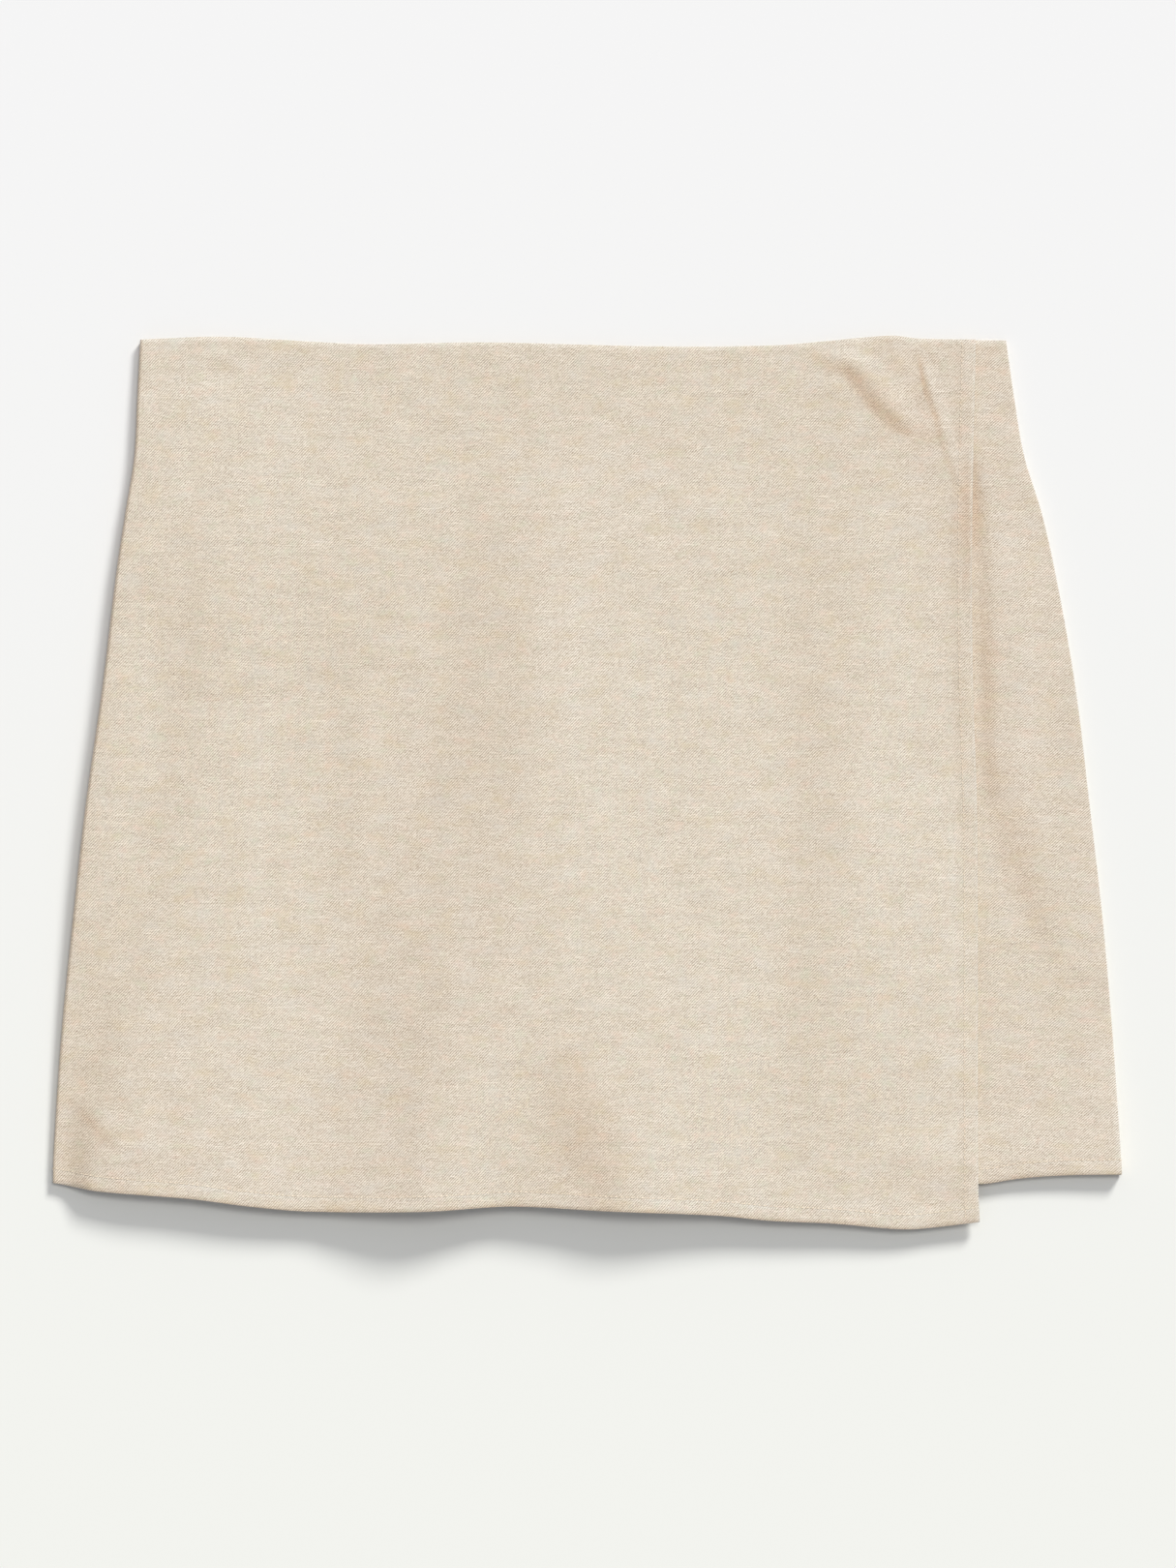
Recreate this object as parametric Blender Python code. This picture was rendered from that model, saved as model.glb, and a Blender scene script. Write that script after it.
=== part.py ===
"""A wrap skort of linen twill, laid flat on its back.

Wide shorts of four panels lie under a front wrap panel. The wrap panel is sewn in at the waist and
at the side seam on the wearer's right, and ends in a free, turned edge near the wearer's left side.

+X is the wearer's left, +Y the waist and +Z up from the table. Sizes are in millimetres until a
mesh is made. A "drop" is the distance down the garment from the highest point of its waist.
"""
import math
from bisect import bisect_right
from collections import namedtuple
from functools import partial

import bmesh
import bpy

MM = 0.001

# The cloth and how it is sewn
CLOTH = 1.0  # wall of one layer
TURNED = 1.8  # wall where an edge is turned in and sewn down
SEAM_GAP = 0.3  # left between two pieces, at a seam or where they lie on each other
TURN_DEPTH = 7.0  # from a turned edge to its stitching
TURN_STEP = 0.4  # over which the wall thickens at the stitching
TURN_FADE = 14.0  # over which a hem thins out again towards a side seam

LENGTH = 424.5  # from the highest point of the waist to the lowest of the hem
HEM_DROP = 403.0  # of the hems at the side seams
CLOTH_COLOUR = (0.73, 0.63, 0.51)
CLOTH_ROUGHNESS = 0.9

# The shorts under the wrap
CENTRE_SEAM = -4.0  # x of the centre seams, front and back
CROTCH_DROP = 292.0
LEG_SPREAD = 8.0  # of each inseam from the centre line, at the hem
SPREAD_POWER = 0.75  # under 1, so that the inseams part fastest at the crotch
WAIST_TUCK = 0.3  # of the shorts' waist below the edge of the wrap panel
LEG_BILLOW = 0.9  # of a leg's front over its back, midway between its seams
HEM_RAMP = 26.0  # over which a leg's front climbs onto the turned hems
SIDE_RAMP = 42.0  # over which it climbs to the rolled side edge

# The wrap panel over them
FREE_EDGE_LIFT = 0.6  # of the free edge above the shorts
FREE_EDGE_SEWN = 0.1  # share of its length, from the waist, over which it is held down
WRAP_SIDE_FALL = 46.0  # over which the panel rounds down to the side seam
WRAP_FREE_FALL = 60.0  # over which it comes down to the free edge
SOFT_CROSSING = 0.5  # rounding where the panel comes down onto the shorts

UPRIGHT = 0.4  # height over which cloth stands upright at the seam of a rolled side edge

# Faces
ROLL_STEPS = 4  # round a rolled side edge, before its upright step
WRAP_ROLL_COLUMNS = ROLL_STEPS + 1
WRAP_COLUMNS = 42
WRAP_ROWS = 26
LEG_COLUMNS = 12
SHORTS_ROWS = 17

# The outline from above: the side edges at each drop, on the wearer's right and left
Side = namedtuple("Side", "drop right left")
SIDES = (
    Side(0, -212.6, 198.3),
    Side(30, -214.1, 202.6),
    Side(57, -215.5, 207.2),
    Side(84, -219.7, 215.5),
    Side(112, -223.9, 221.9),
    Side(167, -230.6, 231.6),
    Side(222, -238.4, 238.2),
    Side(277, -244.6, 244.5),
    Side(333, -250.2, 249.3),
    Side(388, -253.8, 253.0),
    Side(HEM_DROP, -254.2, 253.9),
)

# The outline from above: the waist, the wrap panel's hem and the shorts' hem
Edge = namedtuple("Edge", "x drop")
WAIST = (
    Edge(-211, 1.8),
    Edge(-174, 0.5),
    Edge(-132, 2.8),
    Edge(-105, 4.1),
    Edge(-50, 3.2),
    Edge(33, 5.1),
    Edge(89, 4.6),
    Edge(116, 2.3),
    Edge(144, 0.0),
    Edge(158, 1.4),
    Edge(197, 1.9),
)
WRAP_HEM = (
    Edge(-253, 402.6),
    Edge(-233, 406.2),
    Edge(-188, 409.9),
    Edge(-160, 413.5),
    Edge(-132, 415.8),
    Edge(-77, 415.6),
    Edge(-36, 413.4),
    Edge(6, 415.4),
    Edge(61, 417.7),
    Edge(86, 420.2),
    Edge(116, 421.6),
    Edge(150, 424.4),
    Edge(171, 422.7),
    Edge(185, 420.9),
)
SHORTS_HEM = (
    Edge(-254, 394.0),
    Edge(-150, 399.0),
    Edge(-4, 404.0),
    Edge(186, 403.0),
    Edge(205, 400.4),
    Edge(227, 398.8),
    Edge(254, 398.4),
)

# The free edge of the wrap panel from above
FreeEdge = namedtuple("FreeEdge", "drop x")
FREE_EDGE = (
    FreeEdge(0, 184.2),
    FreeEdge(98, 182.3),
    FreeEdge(165, 182.9),
    FreeEdge(232, 184.9),
    FreeEdge(HEM_DROP, 185.3),
    FreeEdge(421, 186.0),
)

# The outline from the side: the rolled side edges, each with its seam halfway up
Roll = namedtuple("Roll", "drop seam top")
RIGHT_ROLL = (
    Roll(0, 3.0, 5.8),
    Roll(60, 3.8, 7.4),
    Roll(120, 4.6, 9.2),
    Roll(250, 4.6, 9.2),
    Roll(345, 3.3, 6.4),
    Roll(HEM_DROP, 3.0, 5.8),
)
LEFT_ROLL = (
    Roll(0, 2.5, 4.9),
    Roll(120, 2.9, 5.8),
    Roll(280, 2.9, 5.8),
    Roll(HEM_DROP, 2.7, 5.2),
)

# The outline from the hem's end: the wrap panel's height along its hem, without the waves
Height = namedtuple("Height", "x height")
WRAP_HEM_HEIGHT = (
    Height(-253, 5.4),
    Height(-224, 11.0),
    Height(-172, 14.8),
    Height(-134, 13.8),
    Height(-54, 13.5),
    Height(-25, 13.8),
    Height(72, 11.7),
    Height(129, 10.0),
    Height(157, 7.8),
    Height(186, 6.9),
)

# How much of the hem's height the panel has reached at each share of its length
Rise = namedtuple("Rise", "share height")
WRAP_RISE = (
    Rise(0.0, 0.0),
    Rise(0.08, 0.18),
    Rise(0.2, 0.42),
    Rise(0.4, 0.65),
    Rise(0.6, 0.78),
    Rise(0.8, 0.88),
    Rise(1.0, 1.0),
)

# The largest folds of the wrap panel: soft ridges that run down it from one drop to another. Each
# falls away over its reach towards -X and +X, and has a height at its middle and at its end.
Fold = namedtuple("Fold", "x_start x_end start end reach_minus reach_plus middle at_end")
FOLDS = (
    Fold(-182, -176, 40, 270, 22, 60, 1.5, 0.0),
    Fold(-24, -30, 30, 250, 32, 100, 2.4, 0.0),
    Fold(-70, -78, 250, 417, 40, 26, 0.0, 6.0),
    Fold(24, 27, 335, 418, 36, 27, 0.0, 7.0),
    Fold(126, 130, 90, 424, 26, 50, 1.0, 0.8),
)


def smooth_curve(rows, key, value):
    """Return a function through a table's rows, smooth between them and level past its ends."""
    places = [getattr(row, key) for row in rows]
    values = [getattr(row, value) for row in rows]
    last = len(rows) - 1

    def slope(i):
        before, after = max(i - 1, 0), min(i + 1, last)
        return (values[after] - values[before]) / (places[after] - places[before])

    def at(place):
        i = min(max(bisect_right(places, place) - 1, 0), last - 1)
        span = places[i + 1] - places[i]
        t = min(max((place - places[i]) / span, 0.0), 1.0)
        change = values[i + 1] - values[i]
        lean_in, lean_out = slope(i) * span, slope(i + 1) * span
        bend = 3 * change - 2 * lean_in - lean_out
        return values[i] + lean_in * t + bend * t**2 + (lean_in + lean_out - 2 * change) * t**3

    return at


right_side = smooth_curve(SIDES, "drop", "right")
left_side = smooth_curve(SIDES, "drop", "left")
waist_drop = smooth_curve(WAIST, "x", "drop")
wrap_hem_drop = smooth_curve(WRAP_HEM, "x", "drop")
shorts_hem_drop = smooth_curve(SHORTS_HEM, "x", "drop")
free_edge = smooth_curve(FREE_EDGE, "drop", "x")
right_seam = smooth_curve(RIGHT_ROLL, "drop", "seam")
right_top = smooth_curve(RIGHT_ROLL, "drop", "top")
left_seam = smooth_curve(LEFT_ROLL, "drop", "seam")
left_top = smooth_curve(LEFT_ROLL, "drop", "top")
wrap_hem_height = smooth_curve(WRAP_HEM_HEIGHT, "x", "height")
wrap_rise = smooth_curve(WRAP_RISE, "share", "height")


def mix(a, b, t):
    """Go from a to b as t goes from 0 to 1."""
    return a + (b - a) * t


def ease(t):
    """Go from 0 to 1 with a level start and end."""
    t = min(max(t, 0.0), 1.0)
    return t * t * (3 - 2 * t)


def soft_max(a, b):
    """Return a height over both a and b, rounded where they cross."""
    return (a + b + math.hypot(a - b, SOFT_CROSSING)) / 2


def turned_run(start, edge, count, index):
    """Place a grid line: even steps up to the stitching, then the turned edge's two lines."""
    toward = math.copysign(1.0, edge - start)
    if index > count + 1:
        return edge
    if index > count:
        return edge - toward * TURN_DEPTH
    return mix(start, edge - toward * (TURN_DEPTH + TURN_STEP), index / count)


def turned_wall(from_edge, share=1.0):
    """Wall at a distance from a turned edge; share is how far the edge is turned here."""
    thick = 1 - ease((from_edge - TURN_DEPTH) / TURN_STEP)
    return mix(CLOTH, TURNED, thick * share)


def roll_step(step, across, down):
    """Return how far out and how far up or down a rolled edge has gone at a step from level cloth.

    It turns through a quarter of an ellipse, and its last step stands upright to the seam.
    """
    turn = min(max(step, 0), ROLL_STEPS) / ROLL_STEPS * math.pi / 2
    upright = UPRIGHT if step > ROLL_STEPS else 0.0
    return across * math.sin(turn), down * (1 - math.cos(turn)) + upright


# The legs: side is 1 for the wearer's left and -1 for the right


def leg_seam(side, drop):
    """Height of a leg's side seam above the table."""
    return left_seam(drop) if side > 0 else right_seam(drop)


def leg_roll(side, drop):
    """Radius in which the back rolls up from the table to just under the side seam."""
    return leg_seam(side, drop) - SEAM_GAP / 2 - UPRIGHT


def leg_flat_edge(side, drop):
    """Place where the level cloth ends and the rolled side edge begins."""
    edge = left_side(drop) if side > 0 else right_side(drop)
    return edge - side * leg_roll(side, drop)


def leg_inner_edge(side, drop):
    """Place of the centre seam, and below the crotch of the leg's inseam."""
    leg_length = shorts_hem_drop(CENTRE_SEAM) - CROTCH_DROP
    below = max(drop - CROTCH_DROP, 0.0) / leg_length
    return CENTRE_SEAM + side * (SEAM_GAP / 2 + LEG_SPREAD * below**SPREAD_POWER)


def hem_share(side, x, drop):
    """How thick a hem is turned here: 1 along the leg, down to 0 at its side seam."""
    return ease(side * (leg_flat_edge(side, drop) - x) / TURN_FADE)


def front_height(side, x, drop):
    """Top of a leg's front: level on the back, up over the hems, and up to the left leg's roll."""
    flat_edge = leg_flat_edge(side, drop)
    across = min(max((x - CENTRE_SEAM) / (flat_edge - CENTRE_SEAM), 0.0), 1.0)
    height = 2 * CLOTH + SEAM_GAP + LEG_BILLOW * math.sin(math.pi * across)
    above_turning = shorts_hem_drop(x) - TURN_DEPTH - TURN_STEP - drop
    climbed = ease(1 - above_turning / HEM_RAMP) * hem_share(side, x, drop)
    height += 2 * (TURNED - CLOTH) * climbed
    if side > 0:
        height = mix(left_top(drop), height, ease((flat_edge - x) / SIDE_RAMP))
    return height


def leg_point(side, column, row, inset=0.0):
    """Return x and drop of a leg's grid point. inset draws the roll in, for cloth inside it."""

    def across(drop):
        flat_edge = leg_flat_edge(side, drop)
        if column <= LEG_COLUMNS:
            return mix(leg_inner_edge(side, drop), flat_edge, column / LEG_COLUMNS)
        out, _ = roll_step(column - LEG_COLUMNS, leg_roll(side, drop) - inset, 0.0)
        return flat_edge + side * out

    top = waist_drop(across(0.0)) + WAIST_TUCK
    drop = turned_run(top, shorts_hem_drop(across(HEM_DROP)), SHORTS_ROWS, row)
    return across(drop), drop


def leg_wall(side, x, drop):
    """Wall of a leg's panels: one layer, and more where the hem is turned."""
    return turned_wall(shorts_hem_drop(x) - drop, hem_share(side, x, drop))


def back_leg_place(side, column, row):
    """Point and wall of a back panel: flat on the table, and rolled up to the side seam."""
    x, drop = leg_point(side, column, row)
    _, height = roll_step(column - LEG_COLUMNS, 0.0, leg_roll(side, drop))
    return x, drop, height, leg_wall(side, x, drop)


def left_front_place(column, row):
    """Point and wall of the left leg's front: on the back, and rolled down to the side seam."""
    x, drop = leg_point(1, column, row)
    top = front_height(1, x, drop)
    seam = left_seam(drop) + SEAM_GAP / 2 + UPRIGHT
    _, down = roll_step(column - LEG_COLUMNS, 0.0, top - seam)
    return x, drop, top - down, leg_wall(1, x, drop)


def right_front_place(column, row):
    """Point and wall of the right leg's front: on the back, and up inside its rolled edge."""
    inside = 2 * CLOTH + SEAM_GAP
    x, drop = leg_point(-1, column, row, inset=inside)
    _, up = roll_step(column - LEG_COLUMNS, 0.0, leg_roll(-1, drop) - inside)
    return x, drop, front_height(-1, x, drop) + up, leg_wall(-1, x, drop)


# The wrap panel


def fold_height(x, drop):
    """Height that the largest folds add to the wrap panel."""
    height = 0.0
    for fold in FOLDS:
        along = min(max((drop - fold.start) / (fold.end - fold.start), 0.0), 1.0)
        ridge = mix(fold.x_start, fold.x_end, along)
        reach = fold.reach_minus if x < ridge else fold.reach_plus
        across = min(abs(x - ridge) / reach, 1.0)
        crest = fold.middle * math.sin(math.pi * along) + fold.at_end * along**2
        height += crest * (1 + math.cos(math.pi * across)) / 2
    return height


def wrap_height(x, drop, wall):
    """Top of the wrap panel: round at its side, raised and folded along it, low at its free edge."""
    side = 1 if x > CENTRE_SEAM else -1
    lying = front_height(side, x, drop) + SEAM_GAP + wall
    share = (drop - waist_drop(x)) / (wrap_hem_drop(x) - waist_drop(x))
    at_waist = 3 * CLOTH + 2 * SEAM_GAP
    raised = mix(at_waist, wrap_hem_height(x), wrap_rise(share)) + fold_height(x, drop)
    from_roll = x - leg_flat_edge(-1, drop)
    raised = mix(right_top(drop), raised, ease(from_roll / WRAP_SIDE_FALL))
    edge_height = lying + FREE_EDGE_LIFT * ease(share / FREE_EDGE_SEWN)
    raised = mix(edge_height, raised, ease((free_edge(drop) - x) / WRAP_FREE_FALL))
    return soft_max(raised, lying)


def wrap_place(column, row):
    """Point and wall of the wrap panel: rolled down to its side seam, with its hem and edge turned."""
    roll_steps = WRAP_ROLL_COLUMNS - column

    def across(drop):
        flat_edge = leg_flat_edge(-1, drop)
        if roll_steps <= 0:
            return turned_run(flat_edge, free_edge(drop), WRAP_COLUMNS, -roll_steps)
        out, _ = roll_step(roll_steps, leg_roll(-1, drop), 0.0)
        return flat_edge - out

    hem = wrap_hem_drop(across(HEM_DROP))
    drop = turned_run(waist_drop(across(0.0)), hem, WRAP_ROWS, row)
    x = across(drop)
    hem_turned = hem_share(-1, x, drop) if x < CENTRE_SEAM else 1.0
    wall = max(turned_wall(hem - drop, hem_turned), turned_wall(free_edge(drop) - x))
    top = wrap_height(max(x, leg_flat_edge(-1, drop)), drop, wall)
    seam = right_seam(drop) + SEAM_GAP / 2 + UPRIGHT
    _, down = roll_step(roll_steps, 0.0, top - seam)
    return x, drop, top - down, wall


# The model


def make_cloth(name, colour):
    """Make the material of one piece: a dry, matt twill."""
    cloth = bpy.data.materials.new(name)
    cloth.use_nodes = True
    shader = cloth.node_tree.nodes["Principled BSDF"]
    shader.inputs["Base Color"].default_value = (*colour, 1.0)
    shader.inputs["Roughness"].default_value = CLOTH_ROUGHNESS
    shader.inputs["Metallic"].default_value = 0.0
    return cloth


def make_panel(name, columns, rows, place, looks_up, origin):
    """Make a panel's outer face as a grid, and its wall with Solidify, in from that face.

    place(column, row) gives a grid point's x, drop, height and wall.
    """
    grid = bmesh.new()
    bmesh.ops.create_grid(grid, x_segments=columns, y_segments=rows, size=1.0)
    grid.verts.ensure_lookup_table()
    walls = []
    for vert in grid.verts:
        column = round((vert.co.x + 1) / 2 * columns)
        row = round((1 - vert.co.y) / 2 * rows)
        x, drop, height, wall = place(column, row)
        vert.co = (x * MM, -drop * MM, height * MM)
        walls.append(wall)
    grid.normal_update()
    if (sum(face.normal.z for face in grid.faces) > 0) != looks_up:
        bmesh.ops.reverse_faces(grid, faces=grid.faces)
    mesh = bpy.data.meshes.new(name)
    grid.to_mesh(mesh)
    grid.free()
    mesh.shade_smooth()
    mesh.materials.append(make_cloth(f"{name}_cloth", CLOTH_COLOUR))

    panel = bpy.data.objects.new(name, mesh)
    bpy.context.scene.collection.objects.link(panel)
    panel.parent = origin
    thickness = panel.vertex_groups.new(name="wall")
    for index, wall in enumerate(walls):
        thickness.add([index], wall / TURNED, "REPLACE")
    solidify = panel.modifiers.new("wall", "SOLIDIFY")
    solidify.thickness = TURNED * MM
    solidify.offset = -1.0
    solidify.vertex_group = thickness.name
    solidify.use_even_offset = True
    solidify.use_quality_normals = True
    return panel


def make_skort():
    """Make the skort's five panels, hung from an empty at the middle of the waist."""
    origin = bpy.data.objects.new("waist_centre", None)
    origin.location = (0.0, LENGTH / 2 * MM, 0.0)
    bpy.context.scene.collection.objects.link(origin)

    columns, rows = LEG_COLUMNS + ROLL_STEPS + 1, SHORTS_ROWS + 2
    for name, side in (("back_leg_left", 1), ("back_leg_right", -1)):
        make_panel(name, columns, rows, partial(back_leg_place, side), False, origin)
    for name, place in (("front_leg_left", left_front_place), ("front_leg_right", right_front_place)):
        make_panel(name, columns, rows, place, True, origin)
    columns, rows = WRAP_ROLL_COLUMNS + WRAP_COLUMNS + 2, WRAP_ROWS + 2
    make_panel("wrap_panel", columns, rows, wrap_place, True, origin)


for leftover in list(bpy.data.objects):
    bpy.data.objects.remove(leftover, do_unlink=True)
make_skort()
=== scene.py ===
"""The looks of a wrap skort laid flat: its cloth, its stitching, the twill, the thread and a studio.

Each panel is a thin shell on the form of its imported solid, with its creases, its turned edges and
its rolled side. +X is the wearer's left, +Y the waist and +Z up. Sizes are in millimetres until a
mesh is made, and a "drop" is the distance down the garment from the highest point of its waist.
"""
import logging
import math
import random
from abc import ABC, abstractmethod
from bisect import bisect_right
from collections.abc import Iterable, Sequence
from dataclasses import dataclass, field, replace
from enum import Enum
from typing import NamedTuple

import bmesh
import bpy
from mathutils import Matrix, Vector, noise


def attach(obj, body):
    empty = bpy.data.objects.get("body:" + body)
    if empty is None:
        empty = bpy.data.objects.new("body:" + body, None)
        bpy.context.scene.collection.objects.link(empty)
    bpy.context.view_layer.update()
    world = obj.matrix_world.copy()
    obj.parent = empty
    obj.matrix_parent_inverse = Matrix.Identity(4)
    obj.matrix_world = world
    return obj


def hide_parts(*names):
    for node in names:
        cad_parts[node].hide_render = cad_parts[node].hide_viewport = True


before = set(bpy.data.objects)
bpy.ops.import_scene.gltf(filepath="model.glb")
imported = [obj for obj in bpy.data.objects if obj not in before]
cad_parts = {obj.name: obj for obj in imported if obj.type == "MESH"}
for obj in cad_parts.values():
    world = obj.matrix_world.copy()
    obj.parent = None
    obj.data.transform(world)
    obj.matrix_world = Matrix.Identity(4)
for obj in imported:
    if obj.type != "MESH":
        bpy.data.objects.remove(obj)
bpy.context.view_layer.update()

LOG = logging.getLogger("wrap_skort")
MM = 0.001
QUARTER = math.pi / 2
LIGHT_TURN = 60.0
PANEL_MAP = "cloth"
# the attribute of painted warm shade in the creases, trough beds, under the free edge and at the gathers
PAINTED_CREASE_SHADE = "pressed"
# the attribute of painted light and shade, by how the cloth faces the key light
SHADED = "shaded"
# the attribute of painted shade at the ends of each stitch, where it goes into its needle holes
SUNK_SHADE_MAP = "sunk_shade"

Colour = tuple[float, float, float]
Scale = tuple[float, float, float]


class Side(Enum):
    """A side of the garment as the wearer has it, and its direction along X."""

    LEFT = 1
    RIGHT = -1


class Layer(Enum):
    """Which way the outer face of a panel looks, and its direction along Z."""

    FRONT = 1
    BACK = -1


# The outline and the form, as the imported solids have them


class SideRow(NamedTuple):
    """The garment's two side edges at one drop."""

    drop: float
    right: float
    left: float


class EdgeRow(NamedTuple):
    """The drop of a waist or a hem at one place across."""

    x: float
    drop: float


class FreeEdgeRow(NamedTuple):
    """The place of the wrap panel's free edge at one drop."""

    drop: float
    x: float


class RollRow(NamedTuple):
    """The height of a rolled side edge's seam, and of its top, at one drop."""

    drop: float
    seam: float
    top: float


class HeightRow(NamedTuple):
    """The height of the wrap panel along its hem."""

    x: float
    height: float


class RiseRow(NamedTuple):
    """How much of its height at the hem a panel has reached at a share of its length."""

    share: float
    height: float


class Fold(NamedTuple):
    """A soft ridge that runs down the wrap panel, with its height at its middle and its end.

    It is a trough where those are below 0.
    """

    x_start: float
    x_end: float
    start: float
    end: float
    reach_minus: float
    reach_plus: float
    middle: float
    at_end: float


class Crease(NamedTuple):
    """A ridge, or a trough where its height is below 0, from one point of a panel to another.

    It bows to the left of its way, and falls away over its reach on its left and its right. Its
    shaded flank, or the bed of a trough, gets as much painted warm shade as its last value says.
    """

    x_start: float
    drop_start: float
    x_end: float
    drop_end: float
    bow: float
    reach_left: float
    reach_right: float
    height: float
    painted_shade: float = 0.0


SIDES = (
    SideRow(0, -212.6, 198.3),
    SideRow(30, -214.1, 202.6),
    SideRow(57, -215.5, 207.2),
    SideRow(84, -219.7, 215.5),
    SideRow(112, -223.9, 221.9),
    SideRow(167, -230.6, 231.6),
    SideRow(222, -238.4, 238.2),
    SideRow(277, -244.6, 244.5),
    SideRow(333, -250.2, 249.3),
    SideRow(388, -253.8, 253.0),
    SideRow(403, -254.2, 253.9),
)
WAIST = (
    EdgeRow(-211, 1.8),
    EdgeRow(-174, 0.5),
    EdgeRow(-132, 2.8),
    EdgeRow(-105, 4.1),
    EdgeRow(-50, 3.2),
    EdgeRow(33, 5.1),
    EdgeRow(89, 4.6),
    EdgeRow(116, 2.3),
    EdgeRow(144, 0.0),
    EdgeRow(158, 1.4),
    EdgeRow(197, 1.9),
)
WRAP_HEM = (
    EdgeRow(-253, 402.6),
    EdgeRow(-233, 406.2),
    EdgeRow(-188, 409.9),
    EdgeRow(-160, 413.5),
    EdgeRow(-132, 415.8),
    EdgeRow(-77, 415.6),
    EdgeRow(-36, 413.4),
    EdgeRow(6, 415.4),
    EdgeRow(61, 417.7),
    EdgeRow(86, 420.2),
    EdgeRow(116, 421.6),
    EdgeRow(150, 424.4),
    EdgeRow(171, 422.7),
    EdgeRow(185, 420.9),
)
SHORTS_HEM = (
    EdgeRow(-254, 394.0),
    EdgeRow(-150, 399.0),
    EdgeRow(-4, 404.0),
    EdgeRow(186, 403.0),
    EdgeRow(205, 400.4),
    EdgeRow(227, 398.8),
    EdgeRow(254, 398.4),
)
FREE_EDGE = (
    FreeEdgeRow(0, 184.2),
    FreeEdgeRow(98, 182.3),
    FreeEdgeRow(165, 182.9),
    FreeEdgeRow(232, 184.9),
    FreeEdgeRow(403, 185.3),
    FreeEdgeRow(421, 186.0),
)
RIGHT_ROLL = (
    RollRow(0, 3.0, 5.8),
    RollRow(60, 3.8, 7.4),
    RollRow(120, 4.6, 9.2),
    RollRow(250, 4.6, 9.2),
    RollRow(345, 3.3, 6.0),
    RollRow(403, 3.0, 4.5),
)
LEFT_ROLL = (
    RollRow(0, 2.5, 3.1),
    RollRow(120, 2.9, 3.3),
    RollRow(280, 2.9, 3.3),
    RollRow(345, 2.8, 3.9),
    RollRow(403, 2.7, 5.6),
)
WRAP_HEM_HEIGHT = (
    HeightRow(-253, 5.3),
    HeightRow(-241, 9.8),
    HeightRow(-225, 11.7),
    HeightRow(-200, 12.2),
    HeightRow(-172, 13.1),
    HeightRow(-134, 13.0),
    HeightRow(-54, 8.3),
    HeightRow(-25, 9.6),
    HeightRow(72, 11.4),
    HeightRow(129, 9.6),
    HeightRow(157, 9.3),
    HeightRow(186, 5.2),
)
WRAP_RISE = (
    RiseRow(0.0, 0.0),
    RiseRow(0.08, 0.1),
    RiseRow(0.2, 0.18),
    RiseRow(0.4, 0.2),
    RiseRow(0.6, 0.33),
    RiseRow(0.8, 0.62),
    RiseRow(1.0, 1.0),
)
WRAP_FOLDS = (
    Fold(-160, -207, 0, 322, 28, 51, 2.6, 1.0),
    Fold(-2, -42, 8, 303, 54, 76, 5.6, 0.9),
    Fold(-14, 6, 110, 424, 120, 170, 6.0, 0.9),
    Fold(-46, -80, 196, 424, 56, 97, 2.9, 5.5),
    Fold(-24, -76, 294, 419, 50, 43, 0.1, 5.1),
    Fold(43, 22, 266, 424, 65, 65, 1.0, 6.0),
    Fold(-4, 20, 321, 424, 29, 39, 1.0, 1.2),
    Fold(142, 129, 0, 424, 46, 97, 4.5, 0.7),
    Fold(70, 31, 0, 266, 57, 43, 2.9, -0.4),
    Fold(-125, -136, 86, 378, 33, 26, -0.4, -0.8),
)

# The main creases of each panel, whose last values paint warm shade; those of height 0 are only painted
# shade
WRAP_CREASES = (
    Crease(106, 7, 136, 18, 1.0, 10.0, 8.0, 0.7, 0.4),
    Crease(122, 8, 155, 46, 0.0, 14.0, 9.5, 1.65, 0.75),
    Crease(144, 41, 170, 44, 0.0, 7.0, 7.0, 0.4, 0.3),
    Crease(157, 6, 176, 72, 0.5, 6.0, 3.4, 0.75, 0.5),
    Crease(132, 0, 166, 62, 0.0, 32.0, 32.0, 0.0, 0.35),
    Crease(179.3, 50, 180, 122, 0.0, 5.4, 5.4, 0.0, 0.75),
    Crease(184, 50, 185, 145, 0.0, 9.0, 9.0, 1.3),
    Crease(166, 210, 166, 404, 0.0, 20.0, 110.0, 2.2),
    Crease(-184, 20, -178, 172, 0.0, 200.0, 44.0, 2.2),
    Crease(158.4, 12, 162.6, 33, 0.0, 3.0, 2.2, 0.35, 0.9),
    Crease(-249, 358, -220, 388, 3.0, 8.0, 7.0, 0.35, 0.5),
    Crease(-14, 325, 10, 421, 0.0, 30.0, 30.0, 0.0, 0.33),
    Crease(159, 1, 173, 18, 0.0, 4.0, 3.0, 0.35, 0.2),
    Crease(144, 4, 149, 14, 0.0, 4.0, 3.0, 0.35, 0.2),
    Crease(-186, 10, -160, 18, 2.0, 6.0, 4.0, 0.35),
    Crease(-164, 28, -156, 46, -1.0, 5.0, 4.0, 0.3),
    Crease(-190, 50, -186, 92, 0.0, 9.0, 7.0, -0.35),
    Crease(60, 96, 160, 108, 3.0, 5.0, 6.0, 0.22),
    Crease(78, 150, 132, 170, -4.0, 9.0, 9.0, 0.25),
)
LEFT_FRONT_CREASES = (
    Crease(187, 180, 236, 312, -1.0, 34.0, 16.0, 0.8, 0.2),
    Crease(190, 128, 193, 224, 0.0, 7.0, 6.0, 0.0, 0.45),
    Crease(196, 196, 214, 280, 0.0, 20.0, 14.0, 0.0, 0.25),
    Crease(182.3, 54, 184, 112, 0.0, 7.5, 7.0, -1.0, 1.0),
    Crease(193, 84, 195, 222, 0.0, 30.0, 10.0, 1.4, 0.35),
    Crease(190, 262, 192, 402, 0.0, 30.0, 8.0, 0.5),
    Crease(184, 18, 199, 0, 0.0, 5.0, 6.0, -0.5, 0.4),
    Crease(196, 60, 212, 52, 0.0, 6.0, 5.0, 0.25),
)
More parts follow.
